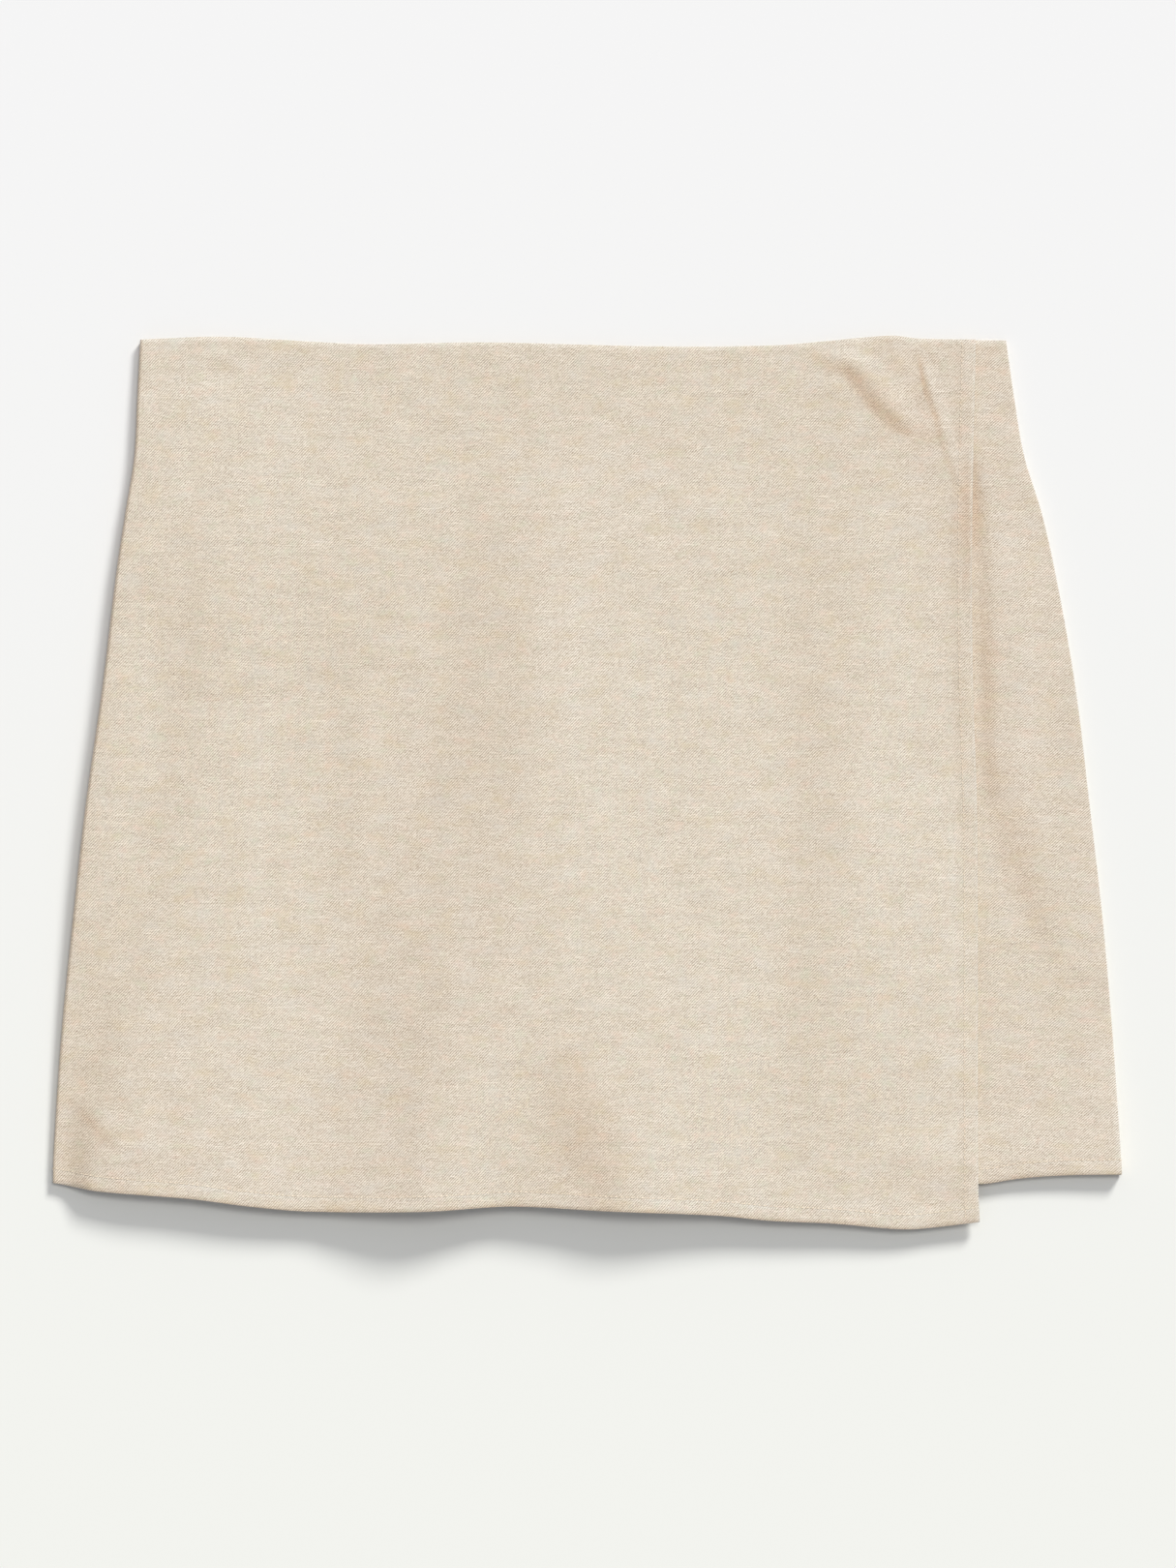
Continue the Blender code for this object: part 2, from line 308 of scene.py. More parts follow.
HIDDEN_CREASES = (
    Crease(40, 60, 150, 92, 8.0, 9.0, 12.0, 0.5),
    Crease(60, 190, 200, 150, -10.0, 12.0, 10.0, 0.6),
    Crease(90, 300, 180, 352, 6.0, 14.0, 9.0, 0.45),
)


def mix(a: float, b: float, t: float) -> float:
    """Go from a to b as t goes from 0 to 1."""
    return a + (b - a) * t


def ease(t: float) -> float:
    """Go from 0 to 1 with a level start and end."""
    t = min(max(t, 0.0), 1.0)
    return t * t * (3 - 2 * t)


def bell(distance: float) -> float:
    """Return 1 at no distance, and 0 from a distance of 1, with a round top and soft feet."""
    return (1 + math.cos(math.pi * min(abs(distance), 1.0))) / 2


def flank(distance: float, rounding: float = 0.25) -> float:
    """Fall with an even slope between round ends.

    Args:
        distance: how far from the crest, as a share of its reach.
        rounding: the share of the reach that each round end takes.

    Returns:
        1 at no distance, and 0 from a distance of 1.
    """
    t = min(abs(distance), 1.0)
    if t < rounding:
        fallen = t * t / (2 * rounding)
    elif t < 1 - rounding:
        fallen = t - rounding / 2
    else:
        fallen = 1 - rounding - (1 - t) ** 2 / (2 * rounding)
    return 1 - fallen / (1 - rounding)


def soft_max(a: float, b: float, rounding: float) -> float:
    """Return a height over both a and b, rounded where they cross."""
    return (a + b + math.hypot(a - b, rounding)) / 2


@dataclass(frozen=True)
class Curve:
    """A line through given values, smooth between its places and level past its ends."""

    places: tuple[float, ...]
    values: tuple[float, ...]
    slopes: tuple[float, ...]

    @classmethod
    def through(cls, rows: Sequence[NamedTuple], place: str, value: str) -> "Curve":
        """Make a curve from two columns of a table.

        Args:
            rows: the table, in the order of its places.
            place: the name of the column that holds the places.
            value: the name of the column that holds the values.

        Returns:
            The curve through every row.
        """
        places = tuple(getattr(row, place) for row in rows)
        values = tuple(getattr(row, value) for row in rows)
        last = len(rows) - 1
        ends = [(max(i - 1, 0), min(i + 1, last)) for i in range(last + 1)]
        slopes = tuple((values[b] - values[a]) / (places[b] - places[a]) for a, b in ends)
        return cls(places, values, slopes)

    def __call__(self, place: float) -> float:
        """Follow the curve.

        Args:
            place: where to look.

        Returns:
            The value there.
        """
        i = min(max(bisect_right(self.places, place) - 1, 0), len(self.places) - 2)
        span = self.places[i + 1] - self.places[i]
        t = min(max((place - self.places[i]) / span, 0.0), 1.0)
        change = self.values[i + 1] - self.values[i]
        lean_in, lean_out = self.slopes[i] * span, self.slopes[i + 1] * span
        bend = 3 * change - 2 * lean_in - lean_out
        return self.values[i] + lean_in * t + bend * t**2 + (lean_in + lean_out - 2 * change) * t**3


RIGHT_EDGE = Curve.through(SIDES, "drop", "right")
LEFT_EDGE = Curve.through(SIDES, "drop", "left")
WAIST_DROP = Curve.through(WAIST, "x", "drop")
WRAP_HEM_DROP = Curve.through(WRAP_HEM, "x", "drop")
SHORTS_HEM_DROP = Curve.through(SHORTS_HEM, "x", "drop")
FREE_EDGE_X = Curve.through(FREE_EDGE, "drop", "x")
RIGHT_SEAM = Curve.through(RIGHT_ROLL, "drop", "seam")
RIGHT_TOP = Curve.through(RIGHT_ROLL, "drop", "top")
LEFT_SEAM = Curve.through(LEFT_ROLL, "drop", "seam")
LEFT_TOP = Curve.through(LEFT_ROLL, "drop", "top")
HEM_HEIGHT = Curve.through(WRAP_HEM_HEIGHT, "x", "height")
RISE = Curve.through(WRAP_RISE, "share", "height")


@dataclass(frozen=True)
class Form:
    """The form that all the panels share: where the legs' edges are and how high their fronts lie."""

    length: float = 424.5
    hem_drop: float = 403.0
    layer: float = 1.0
    gap: float = 0.3
    turn_depth: float = 7.0
    turn_swell: float = 0.3
    turn_step: float = 2.6
    turn_fade: float = 14.0
    centre_seam: float = -4.0
    crotch_drop: float = 292.0
    leg_spread: float = 8.0
    spread_power: float = 0.75
    waist_tuck: float = 0.3
    leg_billow: float = 0.9
    hem_ramp: float = 26.0
    hem_climb: float = 1.6
    left_ramp: float = 75.0
    left_climb: float = 1.5
    left_from: float = 60.0
    side_ramp: float = 64.0
    seam_space: float = 0.55
    seam_tuck: float = 0.5

    def side_edge(self, side: Side, drop: float) -> float:
        """Return the place of the garment's outline on one side."""
        return LEFT_EDGE(drop) if side is Side.LEFT else RIGHT_EDGE(drop)

    def seam(self, side: Side, drop: float) -> float:
        """Return the height of a side seam above the table."""
        return LEFT_SEAM(drop) if side is Side.LEFT else RIGHT_SEAM(drop)

    def roll(self, side: Side, drop: float) -> float:
        """Return the radius in which the back rolls up to just under the side seam."""
        return self.seam(side, drop) - self.seam_space

    def roll_start(self, side: Side, drop: float) -> float:
        """Return the place where level cloth ends and the rolled side begins."""
        return self.side_edge(side, drop) - side.value * self.roll(side, drop)

    def inner_edge(self, side: Side, drop: float) -> float:
        """Return the place of a leg's centre seam, and below the crotch of its inseam.

        Args:
            side: which leg.
            drop: the distance down the garment.

        Returns:
            The place across, which is further from the middle at each drop below the crotch.
        """
        leg_length = SHORTS_HEM_DROP(self.centre_seam) - self.crotch_drop
        below = max(drop - self.crotch_drop, 0.0) / leg_length
        spread = self.leg_spread * below**self.spread_power
        return self.centre_seam + side.value * (self.gap / 2 + spread)

    def hem_share(self, side: Side, x: float, drop: float) -> float:
        """Return how thick a hem is turned here: 1 along the leg, down to 0 at its side."""
        return ease(side.value * (self.roll_start(side, drop) - x) / self.turn_fade)

    def turned(self, from_edge: float) -> float:
        """Return how far cloth at a distance from a turned edge is turned: 0 or 1, or between."""
        return 1 - ease((from_edge - self.turn_depth) / self.turn_step)

    def front_height(self, side: Side, x: float, drop: float) -> float:
        """Return the height of a leg's front.

        Args:
            side: which leg.
            x: the place across.
            drop: the distance down the garment.

        Returns:
            The height of the front's outer face, over the back and the turned hems.
        """
        roll_start = self.roll_start(side, drop)
        across = min(max((x - self.centre_seam) / (roll_start - self.centre_seam), 0.0), 1.0)
        height = 2 * self.layer + self.gap + self.leg_billow * math.sin(math.pi * across)
        above_turning = SHORTS_HEM_DROP(x) - self.turn_depth - drop
        climbed = ease(1 - above_turning / self.hem_ramp) * self.hem_share(side, x, drop)
        height += self.hem_climb * climbed
        if side is Side.LEFT:
            height = mix(LEFT_TOP(drop), height, ease((roll_start - x) / self.side_ramp))
            lifted = self.left_climb * ease((x - self.left_from) / (roll_start - self.left_from))
            height += lifted * ease((drop - SHORTS_HEM_DROP(x) + self.left_ramp) / self.left_ramp)
        return height


FORM = Form()


# Finer relief of the cloth

CREASE_TAPER = 0.7  # how full a crease is near its ends
CREASE_END = 0.5  # its width at its ends, as a share of its width at its middle
RIDGE_BED = 0.65  # how far down a ridge's shaded flank its strip of painted warm shade runs
RIDGE_BED_WIDTH = 0.6
TROUGH_BED_WIDTH = 0.9
COCKLE_PLANE = 7  # parts of the noise apart from those of the dents and the puckers
GATHER_PLANE = 4.0


def crease_relief(creases: Iterable[Crease], x: float, drop: float) -> tuple[float, float]:
    """Return how much a panel's creases raise it at a point, and how much warm shade they paint on it.

    Args:
        creases: the creases of the panel.
        x: the place across.
        drop: the distance down the garment.

    Returns:
        The sum of the creases' heights there, and the sum of their painted shade.
    """
    height = painted_shade = 0.0
    for crease in creases:
        way_x, way_down = crease.x_end - crease.x_start, crease.drop_end - crease.drop_start
        length = math.hypot(way_x, way_down)
        from_x, from_down = x - crease.x_start, drop - crease.drop_start
        along = (from_x * way_x + from_down * way_down) / length**2
        if not 0.0 < along < 1.0:
            continue
        left = (from_x * way_down - from_down * way_x) / length
        left -= crease.bow * 4 * along * (1 - along)
        reach = crease.reach_left if left > 0 else crease.reach_right
        taper = math.sin(math.pi * along) ** CREASE_TAPER
        spread = mix(CREASE_END, 1.0, taper)
        height += crease.height * bell(left / (reach * spread)) * taper
        if crease.painted_shade > 0.0:
            ridge = crease.height > 0.0
            bed = crease.reach_right * spread * (RIDGE_BED if ridge else 0.0)
            width = crease.reach_right * spread * (RIDGE_BED_WIDTH if ridge else TROUGH_BED_WIDTH)
            painted_shade += crease.painted_shade * bell((left + bed) / width) * taper
    return height, min(painted_shade, 1.0)


@dataclass(frozen=True)
class Relief:
    """The unevenness of pressed linen: soft dents, small puckers at its stitching, and its band."""

    seed: float
    dent: float = 0.11
    dent_span: float = 26.0
    dent_stretch: float = 1.6
    dent_fade: float = 12.0
    cockle: float = 0.05
    cockle_span: float = 8.0
    pucker: float = 0.12
    pucker_span: float = 5.5
    pucker_depth: float = 14.0
    pucker_reach: float = 9.0
    groove: float = 0.07
    groove_reach: float = 1.4
    band_swell: float = 0.12
    gather: float = 0.0
    gather_pitch: float = 10.6
    gather_drift: float = 19.0
    gather_waver: float = 0.5
    gather_reach: float = 5.0
    gather_from: float = 48.0
    gather_to: float = 136.0
    gather_power: float = 0.6

    def dents(self, x: float, drop: float) -> float:
        """Return the height of the soft dents.

        Args:
            x: the place across.
            drop: the distance down the garment.

        Returns:
            The height there, above or below 0, and level at the waist.
        """
        long_drop = drop / self.dent_span / self.dent_stretch
        coarse = noise.noise(Vector((x / self.dent_span, long_drop, self.seed)))
        fine_at = (x / self.cockle_span, drop / self.cockle_span, self.seed + COCKLE_PLANE)
        fine = noise.noise(Vector(fine_at))
        return (self.dent * coarse + self.cockle * fine) * ease(drop / self.dent_fade)

    def stitching(self, from_edge: float, along: float) -> float:
        """Return the relief by a line of stitches that holds a turned edge down.

        Args:
            from_edge: the distance in from the edge.
            along: the distance along the edge.

        Returns:
            The height of the swollen band, the groove of the stitches and their puckers.
        """
        from_line = from_edge - FORM.turn_depth
        depth = from_edge / self.pucker_depth
        ripple = noise.noise(Vector((along / self.pucker_span, self.seed, depth)))
        height = self.pucker * ripple * bell(from_line / self.pucker_reach)
        height -= self.groove * bell(from_line / self.groove_reach)
        if from_line < 0:
            height += self.band_swell * math.sin(math.pi * max(from_edge, 0.0) / FORM.turn_depth)
        return height

    def gathers(self, from_edge: float, along: float) -> float:
        """Return how deep the cloth is gathered by a tight stretch of the stitches.

        Args:
            from_edge: the distance in from the edge.
            along: the distance along the edge.

        Returns:
            A share from 0 to 1, highest where a gather crosses the stitches.
        """
        middle = (self.gather_from + self.gather_to) / 2
        tight = bell((along - middle) / (self.gather_to - middle)) ** self.gather_power
        uneven = noise.noise(Vector((along / self.gather_drift, self.seed, GATHER_PLANE)))
        phase = along / self.gather_pitch + uneven * self.gather_waver
        wave = math.sin(2 * math.pi * phase) * 0.5 + 0.5
        return tight * wave * bell((from_edge - FORM.turn_depth) / self.gather_reach)


# Grid lines of a panel


@dataclass(frozen=True)
class Line:
    """A grid line across or down a panel, from one edge to the other.

    Attributes:
        lead: millimetres in from the first edge.
        share: how much of the middle it has passed, from 0 to 1.
        tail: millimetres on from the middle, towards the last edge.
        turn: how far it has gone round the side: 1 round its roll, and 2 in at its seam.
        past: how far past an edge: 1 is once round the turned edge, and 2 at the end of the cloth
            that is turned in. It is below 0 past the first edge.
    """

    lead: float = 0.0
    share: float = 0.0
    tail: float = 0.0
    turn: float = 0.0
    past: float = 0.0


@dataclass(frozen=True)
class Turning:
    """An edge turned in: round a small radius, and then back under the cloth.

    An edge that wraps is turned round one that is turned in already, where the two meet. It is
    pressed, so that its round is narrower than it is deep.
    """

    radius: float
    sweep: float
    pressed: float = 0.45
    back: float = 0.0
    steps: int = 3
    back_steps: int = 0
    wraps: bool = False

    def lines(self) -> list[float]:
        """Return how far past the edge each grid line of the turning is, outermost last."""
        around = [step / self.steps for step in range(1, self.steps + 1)]
        return around + [1 + step / self.back_steps for step in range(1, self.back_steps + 1)]

    def at(self, past: float, radius: float, under: float = 0.0) -> tuple[float, float, float]:
        """Follow cloth round the turning.

        Args:
            past: how far past the edge, from 0 to 2.
            radius: the radius to turn in here.
            under: how deep this cloth already lies under the face, where it is turned twice.

        Returns:
            How far out towards the edge, how deep in from the face, and the length of cloth used.
        """
        angle = min(past, 1.0) * self.sweep
        back = max(past - 1.0, 0.0) * self.back
        wrapped = under if self.wraps else 0.0
        out = (radius - wrapped) * self.pressed * math.sin(angle) - back
        depth = under + (radius - wrapped) * (1 - math.cos(angle))
        return out, depth, radius * angle + back


WAIST_TURNING = Turning(radius=0.5, sweep=QUARTER)
SEAM_TURNING = Turning(radius=0.5, sweep=QUARTER)
HEM_TURNING = Turning(radius=0.6, sweep=math.pi, back=6.6, steps=6, back_steps=4)
FREE_EDGE_TURNING = Turning(
    radius=0.6, sweep=math.pi, pressed=0.3, back=6.0, steps=6, back_steps=4, wraps=True
)
FOOT_DEPTH = 13.0  # of the rows that keep their distance from the hem
FOOT_START = 2.4
STITCH_ROWS = (-2.6, -1.4, -0.6, 0.0, 0.6, 1.4, 2.8, 4.4)  # below the hem's stitching
FREE_EDGE_LINES = (0.0, 1.2, 2.6, 4.0, 5.0, 5.8, 6.4, 7.0, 7.8, 9.0, 10.5, 12.0, 14.0, 16.0, 18.0)
FOLD_LINES = (*range(19, 31), *range(32, 41, 2))  # in from the free edge, as those above are
ROLL_STEPS = 8


def even(count: int, first: bool = True) -> list[float]:
    """Return even shares from 0 to 1, with or without the first."""
    return [step / count for step in range(0 if first else 1, count + 1)]


def in_frame(point: Vector) -> Vector:
    """Take a point of the garment, in millimetres from its waist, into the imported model's frame."""
    return (point + Vector((0.0, FORM.length / 2, 0.0))) * MM


def link_object(name: str, mesh: bpy.types.Mesh) -> bpy.types.Object:
    """Put a mesh into the scene as an object at the origin.

    Args:
        name: the name of the object.
        mesh: its mesh.

    Returns:
        The object.
    """
    made = bpy.data.objects.new(name, mesh)
    bpy.context.scene.collection.objects.link(made)
    return made


def mesh_from(grid: bmesh.types.BMesh, name: str) -> bpy.types.Mesh:
    """Turn a bmesh into a smooth mesh, and free it.

    Args:
        grid: the bmesh.
        name: the name of the mesh.

    Returns:
        The mesh.
    """
    mesh = bpy.data.meshes.new(name)
    grid.to_mesh(mesh)
    grid.free()
    mesh.shade_smooth()
    return mesh


# Finishes


class Mottle(NamedTuple):
    """Noise on the cloth: how fine it is across and down, its detail, and its turn in degrees."""

    across: float
    down: float
    detail: float
    turn: float = 0.0


YARNS = Mottle(450.0, 1500.0, 1.0, -45.0)
SLUBS = Mottle(75.0, 1500.0, 1.0)
STREAKS = Mottle(65.0, 340.0, 2.0)
BLOTCHES = Mottle(55.0, 85.0, 3.0)
HUES = Mottle(110.0, 170.0, 2.0)
PALENESS = Mottle(80.0, 115.0, 3.0)
NOISE_GAIN = 3.0  # it takes a noise texture's values to about -1 to 1


class Tint(NamedTuple):
    """A colour that patches of cloth lean to, where their noise starts to, and how far at most."""

    colour: Colour
    start: float
    most: float


@dataclass
class Graph:
    """A short way to write a material's nodes."""

    tree: bpy.types.NodeTree

    def node(self, kind: str, **inputs: object) -> bpy.types.Node:
        """Add a node and feed its inputs.

        Args:
            kind: the node's type.
            **inputs: for each input, named with _ for a space, a value or another node's output.

        Returns:
            The node.
        """
        made = self.tree.nodes.new(kind)
        for name, value in inputs.items():
            self.feed(made.inputs[name.replace("_", " ")], value)
        return made

    def feed(self, socket: bpy.types.NodeSocket, value: object) -> None:
        """Give an input a constant, or link an output to it.

        Args:
            socket: the input.
            value: the constant, or another node's output.
        """
        if isinstance(value, bpy.types.NodeSocket):
            self.tree.links.new(value, socket)
        else:
            socket.default_value = value

    def maths(self, operation: str, *values: object) -> bpy.types.NodeSocket:
        """Add a Math node.

        Args:
            operation: what it does.
            *values: for each input, a number or another node's output.

        Returns:
            Its result.
        """
        made = self.tree.nodes.new("ShaderNodeMath")
        made.operation = operation
        for socket, value in zip(made.inputs, values):
            self.feed(socket, value)
        return made.outputs[0]

    def total(self, start: object, *parts: tuple[object, float]) -> bpy.types.NodeSocket:
        """Add parts to a value.

        Args:
            start: the value, a number or an output.
            *parts: each part with its weight.

        Returns:
            The sum.
        """
        for part, weight in parts:
            start = self.maths("MULTIPLY_ADD", part, weight, start)
        return start

    def wave(self, phase: bpy.types.NodeSocket) -> bpy.types.NodeSocket:
        """Return a wave from -1 to 1, once for each whole step of the phase."""
        return self.maths("SINE", self.maths("MULTIPLY", phase, 2 * math.pi))

    def noise(self, vector: bpy.types.NodeSocket, scale: float, detail: float) -> bpy.types.NodeSocket:
        """Return smooth noise from about -1 to 1 at a scale, with finer octaves as detail grows."""
        made = self.node("ShaderNodeTexNoise", Vector=vector, Scale=scale, Detail=detail)
        return self.maths("MULTIPLY", self.maths("SUBTRACT", made.outputs[0], 0.5), NOISE_GAIN)

    def above(self, value: object, start: float, end: float) -> bpy.types.NodeSocket:
        """Rise softly from 0 to 1.

        Args:
            value: what is looked at.
            start: where the rise starts.
            end: where it ends.

        Returns:
            0 up to the start, and 1 from the end.
        """
        made = self.node("ShaderNodeMapRange", Value=value, From_Min=start, From_Max=end)
        made.interpolation_type = "SMOOTHSTEP"
        return made.outputs[0]

    def stretched(self, vector: bpy.types.NodeSocket, turn: float, scale: Scale) -> bpy.types.NodeSocket:
        """Turn coordinates by an angle in degrees and stretch them."""
        turned = (0.0, 0.0, math.radians(turn))
        return self.node("ShaderNodeMapping", Vector=vector, Rotation=turned, Scale=scale).outputs[0]

    def mottled(self, vector: bpy.types.NodeSocket, kind: Mottle) -> bpy.types.NodeSocket:
        """Return noise of one of the kinds that the cloth has."""
        scale = (kind.across, kind.down, 1.0)
        return self.noise(self.stretched(vector, kind.turn, scale), 1.0, kind.detail)

    def attribute(self, name: str) -> bpy.types.NodeSocket:
        """Read a value that is kept at the mesh's points.

        Args:
            name: the name of the attribute.

        Returns:
            The value.
        """
        made = self.tree.nodes.new("ShaderNodeAttribute")
        made.attribute_name = name
        return made.outputs["Fac"]

    def blend(self, factor: object, a: object, b: object, way: str = "MIX") -> bpy.types.NodeSocket:
        """Blend two colours.

        Args:
            factor: how much of the second goes in, a number or an output.
            a: the first colour, as red, green and blue or an output.
            b: the second.
            way: how they are blended.

        Returns:
            The blended colour.
        """
        made = self.tree.nodes.new("ShaderNodeMix")
        made.data_type = "RGBA"
        made.blend_type = way
        self.feed(made.inputs["Factor"], factor)
        for name, colour in (("A", a), ("B", b)):
            self.feed(made.inputs[name], (*colour, 1.0) if isinstance(colour, tuple) else colour)
        return made.outputs["Result"]

    def surface(self, specular: float = 0.5, **inputs: object) -> None:
        """Give the material its surface.

        Args:
            specular: how strongly it mirrors.
            **inputs: the shader's other inputs, as node() takes them.
        """
        shader = self.node("ShaderNodeBsdfPrincipled", **inputs)
        shader.inputs["Specular IOR Level"].default_value = specular
        self.node("ShaderNodeOutputMaterial", Surface=shader.outputs[0])


def make_material(name: str) -> tuple[bpy.types.Material, Graph]:
    """Make a material whose tree of nodes is empty.

    Args:
        name: the name of the material.

    Returns:
        The material, and the graph that writes its nodes.
    """
    material = bpy.data.materials.new(name)
    material.use_nodes = True
    material.node_tree.nodes.clear()
    return material, Graph(material.node_tree)


@dataclass(frozen=True)
class TwillFinish:
    """A heathered linen twill of tan and cream yarns, with slubs, blotches and a dry sheen."""

    tan: Colour = (0.345, 0.255, 0.175)
    cream: Colour = (0.967, 0.872, 0.742)
    pink: Tint = Tint((0.78, 0.565, 0.45), 0.1, 0.38)
    sage: Tint = Tint((0.66, 0.66, 0.5), 0.1, 0.36)
    straw: Tint = Tint((0.68, 0.545, 0.345), 0.0, 0.36)
    ash: Tint = Tint((0.72, 0.68, 0.62), 0.0, 0.36)
    tint_full: float = 0.9
    # painted warm shade, multiplied into the colour where creases, trough beds and gathers lie in shade
    pressed: Colour = (0.94, 0.84, 0.77)
    painted_shade_share: float = 0.85
    # painted light and shade: lit where the cloth faces the key light, shaded where it turns away
    lit: Colour = (0.958, 1.0, 1.049)
    shaded: Colour = (1.042, 1.0, 0.951)
    rib_across: float = 1.28
    rib_down: float = 1.38
    rib_waver: float = 0.14
    waver_scale: float = 300.0
    pick: float = 1.45
    fibre_scale: float = 1300.0
    speck_scale: float = 700.0
    speck_range: tuple[float, float] = (0.5, 1.0)
    slub_range: tuple[float, float] = (0.35, 0.9)
    mean_tone: float = 0.57
    rib_tone: float = 0.34
    crossing_tone: float = 0.06
    pick_tone: float = 0.015
    yarn_tone: float = 0.22
    fibre_tone: float = 0.17
    speck_tone: float = -0.3
    slub_tone: float = 0.34
    streak_tone: float = 0.09
    blotch_tone: float = 0.055
    pick_height: float = 0.08
    yarn_height: float = 0.4
    slub_height: float = 0.2
    roughness: float = 0.92
    sheen: float = 0.1
    sheen_roughness: float = 0.45
    specular: float = 0.25
    bump: float = 0.1

    def material(self, name: str, grain: float = 0.0) -> bpy.types.Material:
        """Make the material of one panel.

        Args:
            name: the name of the material.
            grain: how far the panel's grain is turned, in degrees.

        Returns:
            The material.
        """
        material, graph = make_material(name)
        cloth = graph.node("ShaderNodeUVMap")
        cloth.uv_map = PANEL_MAP
        grained = graph.stretched(cloth.outputs[0], grain, (1.0, 1.0, 1.0))
        rib, pick = self.weave(graph, grained)
        kinds = (YARNS, SLUBS, STREAKS, BLOTCHES, HUES, PALENESS)
        yarns, slubs, streaks, blotches, hue, pale = (graph.mottled(grained, kind) for kind in kinds)
        specks = graph.noise(grained, self.speck_scale, 1.0)
        tone = graph.total(
            self.mean_tone,
            (rib, self.rib_tone),
            (graph.maths("MULTIPLY", rib, pick), self.crossing_tone),
            (pick, self.pick_tone),
            (yarns, self.yarn_tone),
            (graph.noise(grained, self.fibre_scale, 0.0), self.fibre_tone),
            (graph.above(specks, *self.speck_range), self.speck_tone),
            (graph.above(slubs, *self.slub_range), self.slub_tone),
            (streaks, self.streak_tone),
            (blotches, self.blotch_tone),
        )
        tone = graph.node("ShaderNodeClamp", Value=tone).outputs[0]
        colour = graph.blend(tone, self.tan, self.cream)
        tints = (
            (hue, self.pink),
            (graph.maths("MULTIPLY", hue, -1.0), self.sage),
            (pale, self.straw),
            (graph.maths("MULTIPLY", pale, -1.0), self.ash),
        )
        for spread, tint in tints:
            leaning = graph.above(spread, tint.start, self.tint_full)
            colour = graph.blend(graph.maths("MULTIPLY", leaning, tint.most), colour, tint.colour)
        # Painted warm shade: the colour darkens and warms in the shaded creases, trough beds and gathers
        share = graph.maths("MULTIPLY", graph.attribute(PAINTED_CREASE_SHADE), self.painted_shade_share)
        colour = graph.blend(share, colour, self.pressed, "MULTIPLY")
        # Painted light and shade by how the cloth faces the key light
        lighting = graph.blend(graph.attribute(SHADED), self.lit, self.shaded)
        height = graph.total(
            rib, (pick, self.pick_height), (yarns, self.yarn_height), (slubs, self.slub_height)
        )
        bump = graph.node("ShaderNodeBump", Height=height, Strength=1.0, Distance=self.bump * MM)
        graph.surface(
            self.specular,
            Base_Color=graph.blend(1.0, colour, lighting, "MULTIPLY"),
            Roughness=self.roughness,
            Sheen_Weight=self.sheen,
            Sheen_Roughness=self.sheen_roughness,
            Normal=bump.outputs[0],
        )
        return material

    def weave(
        self, graph: Graph, grained: bpy.types.NodeSocket
    ) -> tuple[bpy.types.NodeSocket, bpy.types.NodeSocket]:
        """Write the twill's diagonal ribs and its picks.

        Args:
            graph: the graph of the material.
            grained: the cloth's coordinates, turned to its grain.

        Returns:
            A wave from -1 to 1 across the ribs, and one across the picks.
        """
        place = graph.node("ShaderNodeSeparateXYZ", Vector=grained)
        across, down = place.outputs["X"], place.outputs["Y"]
        phase = graph.maths(
            "SUBTRACT",
            graph.maths("DIVIDE", across, self.rib_across * MM),
            graph.maths("DIVIDE", down, self.rib_down * MM),
        )
        wavered = graph.total(phase, (graph.noise(grained, self.waver_scale, 1.0), self.rib_waver))
        return graph.wave(wavered), graph.wave(graph.maths("DIVIDE", down, self.pick * MM))


@dataclass(frozen=True)
class ThreadFinish:
    """A spun sewing thread in the cloth's own colours, with painted shade where its ends go into the
    cloth.
    """

    pale: Colour = (0.88, 0.78, 0.65)
    dark: Colour = (0.7, 0.58, 0.44)
    # painted shade of the needle holes at each stitch's ends
    hole_shade: Colour = (0.46, 0.33, 0.21)
    roughness: float = 0.6
    sheen: float = 0.3
    shade_scale: float = 300.0
    twist: float = 35.0
    twist_stretch: Scale = (1.0, 6.0, 1.0)
    twist_scale: float = 900.0
    bump: float = 0.1
    bump_strength: float = 0.6

    def material(self, name: str) -> bpy.types.Material:
        """Make the material of the stitches.

        Args:
            name: the name of the material.

        Returns:
            The material.
        """
        material, graph = make_material(name)
        place = graph.node("ShaderNodeTexCoord").outputs["Object"]
        uneven = graph.noise(place, self.shade_scale, 1.0)
        shade = graph.node("ShaderNodeMapRange", Value=uneven, From_Min=-1.0)
        colour = graph.blend(shade.outputs[0], self.dark, self.pale)
        twisted = graph.stretched(place, self.twist, self.twist_stretch)
        bump = graph.node(
            "ShaderNodeBump",
            Height=graph.noise(twisted, self.twist_scale, 0.0),
            Strength=self.bump_strength,
            Distance=self.bump * MM,
        )
        # Painted shade darkens each stitch's ends, where it goes into the cloth
        graph.surface(
            Base_Color=graph.blend(graph.attribute(SUNK_SHADE_MAP), colour, self.hole_shade),
            Roughness=self.roughness,
            Sheen_Weight=self.sheen,
            Normal=bump.outputs[0],
        )
        return material


@dataclass(frozen=True)
class FloorFinish:
    """A plain pale floor."""

    far: Colour = (0.806, 0.803, 0.804)
    near: Colour = (0.788, 0.792, 0.757)
    span: float = 0.37
    unevenness: float = 0.02
    uneven_scale: float = 3.0
    roughness: float = 0.95
    specular: float = 0.1

    def material(self, name: str) -> bpy.types.Material:
        """Make the floor's material.

        Args:
            name: the name of the material.

        Returns:
            The material.
        """
        material, graph = make_material(name)
        place = graph.node("ShaderNodeTexCoord").outputs["Object"]
        away = graph.node("ShaderNodeSeparateXYZ", Vector=place).outputs["Y"]
        uneven = graph.total(away, (graph.noise(place, self.uneven_scale, 1.0), self.unevenness))
        colour = graph.blend(graph.above(uneven, -self.span, self.span), self.near, self.far)
        graph.surface(self.specular, Base_Color=colour, Roughness=self.roughness)
        return material


# Panels


